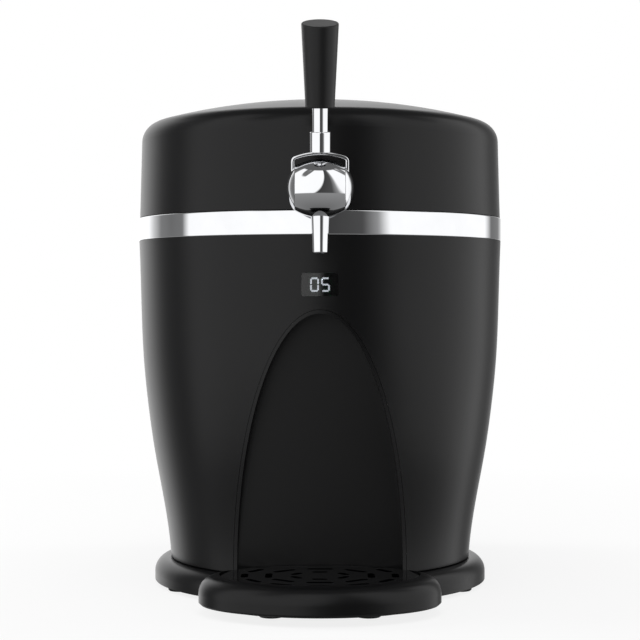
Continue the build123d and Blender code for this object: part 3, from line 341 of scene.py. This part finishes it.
def rounded(points, radius, steps=5):
    """The outline with each inner corner turned into an arc of a radius."""
    out = [points[0]]
    for before, corner, after in zip(points, points[1:], points[2:]):
        a = Vector(before) - Vector(corner)
        b = Vector(after) - Vector(corner)
        half = a.angle(b) / 2
        reach = min(radius / math.tan(half), a.length / 2, b.length / 2)
        size = reach * math.tan(half)
        middle = Vector(corner) + (a.normalized() + b.normalized()).normalized() * (size / math.sin(half))
        start = Vector(corner) + a.normalized() * reach - middle
        turn = start.angle_signed(Vector(corner) + b.normalized() * reach - middle)
        for i in range(steps + 1):
            out.append(tuple(middle + Matrix.Rotation(-turn * i / steps, 2) @ start))
    out.append(points[-1])
    return out


# ---- what a user can change ----
class DispenserLook(bpy.types.PropertyGroup):
    """Colours of the finishes and the glow of the digits."""
    shell_black: bpy.props.StringProperty(
        name="Shell black", description="sRGB colour of the satin shell", default="#101011")
    gloss_black: bpy.props.StringProperty(
        name="Gloss black", description="sRGB colour of the polished grille and switch", default="#08080A")
    grip_black: bpy.props.StringProperty(
        name="Grip black", description="sRGB colour of the handle's soft-touch paint", default="#151516")
    chrome: bpy.props.StringProperty(
        name="Chrome", description="sRGB colour of the chrome plate", default="#E6E7E9")
    liner_grey: bpy.props.StringProperty(
        name="Liner grey", description="sRGB colour of the deck and head liner", default="#9B9C9F")
    digit_glow: bpy.props.FloatProperty(
        name="Digit glow", description="Strength of the lit digits", default=15.0, min=0.0)


class DispenserTrim(bpy.types.PropertyGroup):
    """Sizes of the turned and rounded trim."""
    band_edge: bpy.props.FloatProperty(
        name="Band edge", description="Radius rolled on the chrome band's edges", default=0.0009,
        unit="LENGTH", subtype="DISTANCE")
    band_depth: bpy.props.FloatProperty(
        name="Band depth", description="Wall of the chrome band", default=0.0029,
        unit="LENGTH", subtype="DISTANCE")
    spout_lip: bpy.props.FloatProperty(
        name="Spout lip", description="Radius on the spout's rim", default=0.0009,
        unit="LENGTH", subtype="DISTANCE")
    turning_steps: bpy.props.IntProperty(
        name="Turning steps", description="Facets round the large turned pieces", default=240, min=24)
    small_steps: bpy.props.IntProperty(
        name="Small steps", description="Facets round the tap's turned pieces", default=96, min=24)
    slab_half_width: bpy.props.FloatProperty(
        name="Slab half width", description="Half the width of the tap's bowed drum", default=0.0172,
        unit="LENGTH", subtype="DISTANCE")
    slab_radius: bpy.props.FloatProperty(
        name="Slab radius", description="Radius of the bowed drum in its middle", default=0.0202,
        unit="LENGTH", subtype="DISTANCE")
    slab_seam: bpy.props.FloatProperty(
        name="Slab seam", description="Radius of the bowed drum at its sides", default=0.0156,
        unit="LENGTH", subtype="DISTANCE")
    cap_sphere: bpy.props.FloatProperty(
        name="Cap sphere", description="Radius of the ball that the side caps belong to", default=0.0232,
        unit="LENGTH", subtype="DISTANCE")
    yoke_half_width: bpy.props.FloatProperty(
        name="Yoke half width", description="Half the width over the yoke's arms", default=0.0197,
        unit="LENGTH", subtype="DISTANCE")
    yoke_wall: bpy.props.FloatProperty(
        name="Yoke wall", description="Thickness of the yoke's crown and arms", default=0.0023,
        unit="LENGTH", subtype="DISTANCE")
    yoke_depth: bpy.props.FloatProperty(
        name="Yoke depth", description="Depth of the yoke from front to back", default=0.010,
        unit="LENGTH", subtype="DISTANCE")
    yoke_crown: bpy.props.FloatProperty(
        name="Yoke crown", description="Height of the yoke's crown above the pivot", default=0.0251,
        unit="LENGTH", subtype="DISTANCE")
    yoke_drop: bpy.props.FloatProperty(
        name="Yoke drop", description="How far the crown falls to its shoulders", default=0.004,
        unit="LENGTH", subtype="DISTANCE")
    yoke_corner: bpy.props.FloatProperty(
        name="Yoke corner", description="Outer radius of the yoke's shoulders", default=0.004,
        unit="LENGTH", subtype="DISTANCE")
    collar_radius: bpy.props.FloatProperty(
        name="Collar radius", description="Radius of the collar on the yoke", default=0.0074,
        unit="LENGTH", subtype="DISTANCE")
    collar_end: bpy.props.FloatProperty(
        name="Collar end", description="From the pivot to the collar's top", default=0.0383,
        unit="LENGTH", subtype="DISTANCE")
    stem_radius: bpy.props.FloatProperty(
        name="Stem radius", description="Radius of the stem", default=0.00555,
        unit="LENGTH", subtype="DISTANCE")
    grip_start: bpy.props.FloatProperty(
        name="Grip start", description="From the pivot to the grip's lower end", default=0.0542,
        unit="LENGTH", subtype="DISTANCE")
    grip_end: bpy.props.FloatProperty(
        name="Grip end", description="From the pivot to the grip's top", default=0.1112,
        unit="LENGTH", subtype="DISTANCE")
    grip_low: bpy.props.FloatProperty(
        name="Grip low radius", description="Radius of the grip's lower end", default=0.00995,
        unit="LENGTH", subtype="DISTANCE")
    grip_top: bpy.props.FloatProperty(
        name="Grip top radius", description="Radius of the grip's top", default=0.0128,
        unit="LENGTH", subtype="DISTANCE")
    grip_cut: bpy.props.FloatProperty(
        name="Grip cut", description="How far the grip's top face slopes down to the front",
        default=math.radians(13.2), unit="ROTATION", subtype="ANGLE")
    spout_top: bpy.props.FloatProperty(
        name="Spout top radius", description="Radius of the spout where it meets the tap", default=0.0063,
        unit="LENGTH", subtype="DISTANCE")
    spout_tip: bpy.props.FloatProperty(
        name="Spout tip radius", description="Radius of the spout's end", default=0.0054,
        unit="LENGTH", subtype="DISTANCE")
    spout_bore: bpy.props.FloatProperty(
        name="Spout bore", description="Radius of the spout's mouth", default=0.003,
        unit="LENGTH", subtype="DISTANCE")


class DispenserStudio(bpy.types.PropertyGroup):
    """The studio's camera and light."""
    distance: bpy.props.FloatProperty(
        name="Camera distance", description="From the barrel's axis to the camera", default=1.302,
        unit="LENGTH", subtype="DISTANCE")
    height: bpy.props.FloatProperty(
        name="Camera height", description="Above the worktop", default=0.2185,
        unit="LENGTH", subtype="DISTANCE")
    tip: bpy.props.FloatProperty(
        name="Camera tip", description="How far the camera looks down", default=math.radians(0.69),
        unit="ROTATION", subtype="ANGLE")
    lens: bpy.props.FloatProperty(
        name="Lens", description="Focal length in millimetres on a 36 mm sensor", default=93.6)
    ambient: bpy.props.FloatProperty(
        name="Ambient", description="Strength of the world's fill light", default=0.30, min=0.0)


SECTIONS = {
    "dispenser_look": DispenserLook,
    "dispenser_trim": DispenserTrim,
    "dispenser_studio": DispenserStudio,
}


# ---- turned and bent trim ----
# small details of the tap, in metres, and how finely arcs and the grip's rolled rim are divided
COLLAR_ROUND = 0.8 * MM
GRIP_ROUND = 0.9 * MM
STEM_IN_GRIP = 22.0 * MM
GRIP_RECESS = 3.0 * MM
DRUM_EDGE = 0.5 * MM
YOKE_EDGE = 0.7 * MM
ARC_STEPS = 24
RIM_STEPS = 4

# the spout's kink: its share of the height, and of the widening from tip to top
SPOUT_TAPER = 0.3
SPOUT_WIDENING = 0.25


def chromed(piece, body, node):
    """A chromed piece that rides on a body and stands for a CAD node."""
    wear(piece, bpy.data.materials["polished chrome plate"])
    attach(piece, body)
    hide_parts(node)


def arc_points(radius, centre, start, end):
    """Points on an arc, with angles from the x axis."""
    turns = [start + (end - start) * i / ARC_STEPS for i in range(ARC_STEPS + 1)]
    return [(centre[0] + radius * math.cos(turn), centre[1] + radius * math.sin(turn)) for turn in turns]


def bowed(half_width, middle, seam):
    """The section of a drum whose side bows out: (radius, height) from axis to axis."""
    rise = middle - seam
    radius = (half_width ** 2 + rise ** 2) / (2 * rise)
    reach = math.asin(half_width / radius)
    side = arc_points(radius, (middle - radius, 0), -reach, reach)
    lower = rounded([(0, -half_width), side[0], side[1]], DRUM_EDGE)
    upper = rounded([side[-2], side[-1], (0, half_width)], DRUM_EDGE)
    return lower[:-1] + side[1:-1] + upper[1:]


def ball_slice(sphere, low, high):
    """The section of a slice of a ball between two distances from its middle."""
    side = arc_points(sphere, (0, 0), math.asin(low / sphere), math.asin(high / sphere))
    start = [(0, low)]
    end = [] if high >= sphere else [(0, high)]
    return start + side + end


def slope_off(mesh, height, slope):
    """Cuts the top off a turned blank along a plane that slopes down to the front, and rolls its rim."""
    normal = (0, -math.sin(slope), math.cos(slope))
    cut = bmesh.ops.bisect_plane(mesh, geom=mesh.verts[:] + mesh.edges[:] + mesh.faces[:],
                                 plane_co=(0, 0, height), plane_no=normal, clear_outer=True)
    rim = [item for item in cut["geom_cut"] if isinstance(item, bmesh.types.BMEdge)]
    bmesh.ops.contextual_create(mesh, geom=rim)
    bmesh.ops.bevel(mesh, geom=rim, offset=GRIP_ROUND, affect="EDGES", segments=RIM_STEPS, profile=0.5,
                    material=-1)


def bent_yoke(trim):
    """The yoke's band: a rounded section spun over the crown and the shoulder, run down the arm and
    mirrored."""
    half, crown, wall = trim.yoke_half_width, trim.yoke_crown, trim.yoke_wall
    arc = (half ** 2 + trim.yoke_drop ** 2) / (2 * trim.yoke_drop)
    middle_z = crown - arc
    corner_x = half - trim.yoke_corner
    reach = arc - trim.yoke_corner
    corner_z = middle_z + math.sqrt(reach ** 2 - corner_x ** 2)
    crown_turn = math.asin(corner_x / reach)
    mesh = bmesh.new()
    depth = trim.yoke_depth / 2
    edge_points = [(0.0, crown), (depth, crown), (depth, crown - wall), (0.0, crown - wall)]
    section = rounded(edge_points, YOKE_EDGE)
    section += [(-y, z) for y, z in reversed(section[1:-1])]
    face = mesh.faces.new([mesh.verts.new((0, y, z)) for y, z in section])
    moved = list(face.verts) + list(face.edges) + [face]
    for centre, turn, steps in (((0, 0, middle_z), crown_turn, ARC_STEPS),
                                ((corner_x, 0, corner_z), math.pi / 2 - crown_turn, ARC_STEPS)):
        moved = bmesh.ops.spin(mesh, geom=moved, cent=centre, axis=(0, 1, 0), angle=turn, steps=steps,
                               use_merge=False)["geom_last"]
    ends = [item for item in moved if isinstance(item, bmesh.types.BMFace)]
    arm = bmesh.ops.extrude_face_region(mesh, geom=ends)
    tips = [item for item in arm["geom"] if isinstance(item, bmesh.types.BMVert)]
    bmesh.ops.translate(mesh, verts=tips, vec=(0, 0, -corner_z))
    bmesh.ops.mirror(mesh, geom=mesh.verts[:] + mesh.edges[:] + mesh.faces[:], axis="X",
                     merge_dist=MERGE)
    bmesh.ops.remove_doubles(mesh, verts=mesh.verts, dist=MERGE)
    inner = [f for f in mesh.faces if all(abs(v.co.x) < ON_PLANE for v in f.verts)]
    bmesh.ops.delete(mesh, geom=inner, context="FACES_ONLY")
    bmesh.ops.transform(mesh, matrix=LEVER_PLACE, verts=mesh.verts)
    return finished("yoke_band", mesh)


# ---- operators ----
class DISPENSER_OT_finishes(bpy.types.Operator):
    """Make every finish and give each CAD node the one that its material slot names"""
    bl_idname = "dispenser.finishes"
    bl_label = "Finishes"

    def execute(self, context):
        look = context.scene.dispenser_look
        made = {slot: make(look) for slot, make in FINISHES.items()}
        for part in frame["record"]["subparts"]:
            wear(NODES[part["node"]], made[part["material_slot"]])
        # the handle's own paint, which no slot names
        soft_touch(look)
        return {"FINISHED"}


class DISPENSER_OT_band(bpy.types.Operator):
    """Roll the chrome band that parts the head from the barrel"""
    bl_idname = "dispenser.band"
    bl_label = "Chrome band"

    def execute(self, context):
        trim = context.scene.dispenser_trim
        inner = BAND_R - trim.band_depth
        section = [(inner, BAND_LOW.z), (BAND_R, BAND_LOW.z), (BAND_R, BAND_HIGH.z), (inner, BAND_HIGH.z)]
        outline = rounded(section, trim.band_edge)
        band = turned("band", outline, ON_AXIS, trim.turning_steps)
        wear(band, bpy.data.materials["polished chrome plate"])
        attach(band, "housing")
        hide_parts("chrome_band")
        return {"FINISHED"}


class DISPENSER_OT_tap(bpy.types.Operator):
    """Turn the tap's bowed drum, its neck and its spout"""
    bl_idname = "dispenser.tap"
    bl_label = "Tap"

    def execute(self, context):
        trim = context.scene.dispenser_trim
        drum = bowed(trim.slab_half_width, trim.slab_radius, trim.slab_seam)
        slab = turned("tap_drum", drum, ACROSS, trim.small_steps)
        shank_low, shank_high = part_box("tap_shank")
        neck_r = (shank_high.x - shank_low.x) / 2
        along = Matrix.Translation((0, 0, PIVOT.z)) @ Matrix.Rotation(-math.pi / 2, 4, "X")
        neck_start = PIVOT.y + trim.slab_radius / 2
        rod = [(0, neck_start), (neck_r, neck_start), (neck_r, shank_low.y), (0, shank_low.y)]
        neck = turned("tap_neck", rod, along, trim.small_steps)
        for piece in (slab, neck):
            chromed(piece, "head", "tap_body")
        low, high = SPOUT_LOW.z, SPOUT_HIGH.z
        taper = low + SPOUT_TAPER * (high - low)
        kink = trim.spout_tip + (trim.spout_top - trim.spout_tip) * SPOUT_WIDENING
        section = [(trim.spout_bore, high), (trim.spout_bore, low), (trim.spout_tip, low), (kink, taper),
                   (trim.spout_top, high)]
        mouth = turned("tap_spout", rounded(section, trim.spout_lip), Matrix.Translation((0, TAP_Y, 0)),
                       trim.small_steps)
        chromed(mouth, "head", "spout")
        return {"FINISHED"}


class DISPENSER_OT_yoke(bpy.types.Operator):
    """Bend the yoke over the tap, with its eyes, its round caps, the collar and the stem"""
    bl_idname = "dispenser.yoke"
    bl_label = "Yoke and stem"

    def execute(self, context):
        trim = context.scene.dispenser_trim
        chromed(bent_yoke(trim), "lever", "tap_yoke")
        arm = trim.yoke_half_width - trim.yoke_wall
        for side, label in ((1, "right"), (-1, "left")):
            turn = LEVER_PLACE @ Matrix.Rotation(side * math.pi / 2, 4, "Y")
            eye = ball_slice(trim.cap_sphere, arm, trim.yoke_half_width)
            chromed(turned("yoke_eye_" + label, eye, turn, trim.small_steps), "lever", "tap_yoke")
            cap = ball_slice(trim.cap_sphere, trim.yoke_half_width, trim.cap_sphere)
            chromed(turned("pivot_cap_" + label, cap, turn, trim.small_steps), "lever", "pivot_caps")
        start = trim.yoke_crown - trim.yoke_wall / 2
        end = trim.collar_end
        collar = [(0, start), (trim.collar_radius, start), (trim.collar_radius, end), (0, end)]
        chromed(turned("stem_collar", rounded(collar, COLLAR_ROUND), LEVER_PLACE, trim.small_steps),
                "lever", "lever_collar")
        top = trim.grip_start + STEM_IN_GRIP
        stem = [(0, end), (trim.stem_radius, end), (trim.stem_radius, top), (0, top)]
        chromed(turned("stem", stem, LEVER_PLACE, trim.small_steps), "lever", "lever_stem")
        return {"FINISHED"}


class DISPENSER_OT_grip(bpy.types.Operator):
    """Turn the flared handle grip"""
    bl_idname = "dispenser.grip"
    bl_label = "Handle grip"

    def execute(self, context):
        trim = context.scene.dispenser_trim
        start, end = trim.grip_start, trim.grip_end
        spare = trim.grip_top
        flare = (trim.grip_top - trim.grip_low) / (end - start)
        blank_top = (trim.grip_top + flare * spare, end + spare)
        section = [(trim.stem_radius, start + GRIP_RECESS), (trim.stem_radius, start), (trim.grip_low, start),
                   blank_top, (0, end + spare), (0, start + GRIP_RECESS)]
        mesh = spun(rounded(section[:4], GRIP_ROUND)[:-1] + section[3:], trim.small_steps)
        slope_off(mesh, end, trim.grip_cut)
        bmesh.ops.transform(mesh, matrix=LEVER_PLACE, verts=mesh.verts)
        grip = finished("handle", mesh)
        wear(grip, bpy.data.materials["soft-touch black paint"])
        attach(grip, "lever")
        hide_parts("handle_grip")
        return {"FINISHED"}


class DISPENSER_OT_studio(bpy.types.Operator):
    """Set the floor, the world, the tent, the lamps and the camera"""
    bl_idname = "dispenser.studio"
    bl_label = "Studio"

    def execute(self, context):
        studio = context.scene.dispenser_studio
        make_world(context.scene, studio)
        make_floor()
        make_tent()
        for place, aim, size, power in LAMPS:
            make_lamp(place, aim, size, power)
        make_camera(context.scene, studio)
        context.scene.view_settings.view_transform = "Standard"
        return {"FINISHED"}


# ---- studio ----
SENSOR_MM = 36.0

# place, aim, (width, height) and power of each soft box, in metres and watts
LAMPS = (
    ((-1.35, 0.35, 0.55), (0.0, 0.0, 0.2), (0.5, 1.3), 16.0),
    ((1.35, 0.45, 0.55), (0.0, 0.0, 0.2), (0.4, 1.1), 7.0),
    ((0.0, -0.3, 1.9), (0.0, 0.0, 0.2), (1.2, 1.2), 14.0),
)

# the floor: its radius and sides, and where its shade near the machine fades out to pure white
FLOOR_R = 30.0
FLOOR_SIDES = 96
FLOOR_FADE = (0.25, 0.9)
FLOOR_SHADE = 0.84

# the tent, in metres
TENT_RADIUS = 4.0
TENT_HEIGHT = 0.28
TENT_SEGMENTS = 64

# where the tent's tones change, in degrees round from the camera's side, positive to the right, or in
# degrees of height: the gap and how it narrows upwards, the tops of the panels and the backdrop
HALF_TURN = 180.0
STRAIGHT_DOWN = -90.0
GAP_MIDDLE = 21.0
GAP_PINCH = 0.021
PINCH_FADE = (60.0, 90.0)
BACKDROP_FADE = (95.0, 130.0)
PANEL_TOP = 66.0
BACKDROP_TOP = 37.0
GROUND_EDGE = -21.0
TENT_BLUR = 1.5

# linear light levels: ceiling, ground underfoot and far off, and the wall by its angle
CEILING = 0.14
GROUND_NEAR = 0.16
GROUND_FAR = 0.32
TENT_WALL = (
    (-180.0, 1.3), (-134.0, 1.3), (-125.0, 0.7), (-116.0, 0.25), (-104.0, 0.19), (-93.0, 0.22),
    (-87.0, 1.3), (0.0, 1.3), (4.0, 0.06), (26.0, 0.09), (36.0, 0.36), (44.0, 1.3), (124.0, 1.3),
    (134.0, 0.2), (150.0, 0.25), (165.0, 0.9), (180.0, 1.3),
)


def studio_ray(tree):
    """1 for camera, mirror and see-through rays, which meet pure white where no tent stands, else 0."""
    path = add_node(tree, "ShaderNodeLightPath")
    seen = reckon(tree, "MAXIMUM", (path, "Is Camera Ray"), (path, "Is Glossy Ray"))
    return reckon(tree, "MAXIMUM", seen, (path, "Is Transmission Ray"))


def make_world(scene, studio):
    """A white studio all round, whose fill light on the object is weaker than it looks."""
    world = bpy.data.worlds.new("white studio")
    tree = bare_tree(world)
    level = remap(tree, studio_ray(tree), (0.0, 1.0), (studio.ambient, 1.0))
    light = add_node(tree, "ShaderNodeBackground", {"Color": linear("#FFFFFF")}, {"Strength": level})
    add_node(tree, "ShaderNodeOutputWorld", None, {"Surface": (light, "Background")})
    scene.world = world


def make_floor():
    """A wide white floor: near the machine it takes its shadow, further out it meets the white studio.
    Mirrors pass it by and see the tent's own ground."""
    mesh = bmesh.new()
    bmesh.ops.create_circle(mesh, cap_ends=True, segments=FLOOR_SIDES, radius=FLOOR_R)
    floor = finished("floor", mesh)
    material = bpy.data.materials.new("white floor")
    tree = bare_tree(material)
    place = add_node(tree, "ShaderNodeTexCoord")
    reach = add_node(tree, "ShaderNodeVectorMath", {"operation": "LENGTH"}, {"Vector": (place, "Object")})
    far = remap(tree, (reach, "Value"), FLOOR_FADE, (FLOOR_SHADE, 1.0))
    seen = reckon(tree, "MULTIPLY", far, studio_ray(tree))
    matte = add_node(tree, "ShaderNodeBsdfDiffuse", {"Color": linear("#F4F4F4")})
    white = add_node(tree, "ShaderNodeEmission", {"Color": linear("#FFFFFF"), "Strength": 1.0})
    mixed = add_node(tree, "ShaderNodeMixShader", None,
                     {"Fac": seen, 1: (matte, "BSDF"), 2: (white, "Emission")})
    add_node(tree, "ShaderNodeOutputMaterial", None, {"Surface": (mixed, "Shader")})
    wear(floor, material)
    floor.visible_glossy = False


def tent_angles(tree):
    """How far round and how high a point of the tent lies, in degrees."""
    place = add_node(tree, "ShaderNodeTexCoord")
    aim = add_node(tree, "ShaderNodeVectorMath", {"operation": "NORMALIZE"}, {0: (place, "Object")})
    axes = add_node(tree, "ShaderNodeSeparateXYZ", None, {0: (aim, "Vector")})
    front = reckon(tree, "MULTIPLY", (axes, "Y"), -1.0)
    azimuth = reckon(tree, "DEGREES", reckon(tree, "ARCTAN2", (axes, "X"), front))
    height = reckon(tree, "DEGREES", reckon(tree, "ARCSINE", (axes, "Z")))
    return azimuth, height


def tent_wall(tree, azimuth, height):
    """The tones round the tent's wall, drawn in with height on both sides of the gap."""
    pinch = reckon(tree, "MULTIPLY_ADD", height, GAP_PINCH, 1.0)
    off = reckon(tree, "SUBTRACT", azimuth, GAP_MIDDLE)
    bent = reckon(tree, "MULTIPLY", off, pinch)
    near = remap(tree, reckon(tree, "ABSOLUTE", off), PINCH_FADE, (1.0, 0.0))
    spread = add_node(tree, "ShaderNodeMix", {"data_type": "FLOAT"},
                      {0: near, MIX_NUMBER_A: off, MIX_NUMBER_B: bent})
    share = remap(tree, (spread, 0), (-HALF_TURN - GAP_MIDDLE, HALF_TURN - GAP_MIDDLE))
    wall = add_node(tree, "ShaderNodeValToRGB", None, {"Fac": share})
    stops = [((angle + HALF_TURN) / (2 * HALF_TURN), level) for angle, level in TENT_WALL]
    fill_ramp(wall.color_ramp, stops)
    return wall, "Color"


def tent_tones(tree):
    """The tent's wall with the ceiling above it and the ground below."""
    azimuth, height = tent_angles(tree)
    edge = remap(tree, reckon(tree, "ABSOLUTE", azimuth), BACKDROP_FADE, (PANEL_TOP, BACKDROP_TOP))
    above = reckon(tree, "SUBTRACT", height, edge)
    ceiling = remap(tree, above, (-TENT_BLUR, TENT_BLUR))
    upper = blend(tree, ceiling, tent_wall(tree, azimuth, height), [CEILING, CEILING, CEILING, 1.0])
    ground = remap(tree, height, (STRAIGHT_DOWN, GROUND_EDGE), (GROUND_NEAR, GROUND_FAR))
    foot = remap(tree, height, (GROUND_EDGE - TENT_BLUR, GROUND_EDGE + TENT_BLUR))
    return blend(tree, foot, ground, upper)


def make_tent():
    """The studio tent that gloss and chrome mirror: wide white panels to the left and right, a dark
    gap between them to the right of the middle, dark ends, a low white backdrop, a dim ceiling and a
    grey ground. Only glossy rays see it."""
    mesh = bmesh.new()
    bmesh.ops.create_uvsphere(mesh, u_segments=TENT_SEGMENTS, v_segments=TENT_SEGMENTS // 2,
                              radius=TENT_RADIUS)
    bmesh.ops.reverse_faces(mesh, faces=mesh.faces)
    data = bpy.data.meshes.new("tent")
    mesh.to_mesh(data)
    mesh.free()
    tent = bpy.data.objects.new("tent", data)
    tent.location = (0.0, AXIS_Y, TENT_HEIGHT)
    bpy.context.scene.collection.objects.link(tent)
    material = bpy.data.materials.new("tent cloth")
    tree = bare_tree(material)
    glow = add_node(tree, "ShaderNodeEmission", {"Strength": 1.0}, {"Color": tent_tones(tree)})
    add_node(tree, "ShaderNodeOutputMaterial", None, {"Surface": (glow, "Emission")})
    wear(tent, material)
    for ray in ("visible_camera", "visible_diffuse", "visible_transmission", "visible_shadow",
                "visible_volume_scatter"):
        setattr(tent, ray, False)


def fill_ramp(ramp, stops):
    """Sets a ramp's stops from (position, grey level)."""
    for place, level in stops[2:]:
        ramp.elements.new(place)
    for stop, (place, level) in zip(ramp.elements, stops):
        stop.position = place
        stop.color = (level, level, level, 1.0)


def make_lamp(place, aim, size, power):
    """One soft box, aimed at a point."""
    data = bpy.data.lights.new("soft box", "AREA")
    data.shape = "RECTANGLE"
    data.size, data.size_y = size
    data.energy = power
    lamp = bpy.data.objects.new("soft box", data)
    lamp.location = place
    lamp.rotation_mode = "QUATERNION"
    lamp.rotation_quaternion = (Vector(aim) - Vector(place)).to_track_quat("-Z", "Y")
    lamp.visible_camera = False
    lamp.visible_glossy = False
    bpy.context.scene.collection.objects.link(lamp)


def make_camera(scene, studio):
    """A studio camera in front of the tap, almost level."""
    data = bpy.data.cameras.new("camera")
    data.sensor_width = SENSOR_MM
    data.lens = studio.lens
    camera = bpy.data.objects.new("camera", data)
    camera.location = (0.0, AXIS_Y - studio.distance, studio.height)
    camera.rotation_euler = (math.pi / 2 - studio.tip, 0.0, 0.0)
    scene.collection.objects.link(camera)
    scene.camera = camera


# ---- add-on ----
STEPS = (
    DISPENSER_OT_finishes,
    DISPENSER_OT_band,
    DISPENSER_OT_tap,
    DISPENSER_OT_yoke,
    DISPENSER_OT_grip,
    DISPENSER_OT_studio,
)


class DISPENSER_PT_panel(bpy.types.Panel):
    """Lists the dispenser's steps and settings"""
    bl_idname = "DISPENSER_PT_panel"
    bl_label = "Mini Keg Beer Dispenser"
    bl_space_type = "VIEW_3D"
    bl_region_type = "UI"
    bl_category = "Dispenser"

    def draw(self, context):
        for section in SECTIONS:
            group = getattr(context.scene, section)
            for name in group.bl_rna.properties.keys():
                if name not in ("rna_type", "name"):
                    self.layout.prop(group, name)
        for step in STEPS:
            self.layout.operator(step.bl_idname)


def register():
    """Registers the settings, operators and panel."""
    for name, group in SECTIONS.items():
        bpy.utils.register_class(group)
        setattr(bpy.types.Scene, name, bpy.props.PointerProperty(type=group))
    for step in (*STEPS, DISPENSER_PT_panel):
        bpy.utils.register_class(step)


def unregister():
    """Takes them out again."""
    for step in (DISPENSER_PT_panel, *reversed(STEPS)):
        bpy.utils.unregister_class(step)
    for name, group in SECTIONS.items():
        delattr(bpy.types.Scene, name)
        bpy.utils.unregister_class(group)


def main():
    """Runs every step in order."""
    register()
    bpy.ops.dispenser.finishes()
    bpy.ops.dispenser.band()
    bpy.ops.dispenser.tap()
    bpy.ops.dispenser.yoke()
    bpy.ops.dispenser.grip()
    bpy.ops.dispenser.studio()


if __name__ == "__main__":
    main()
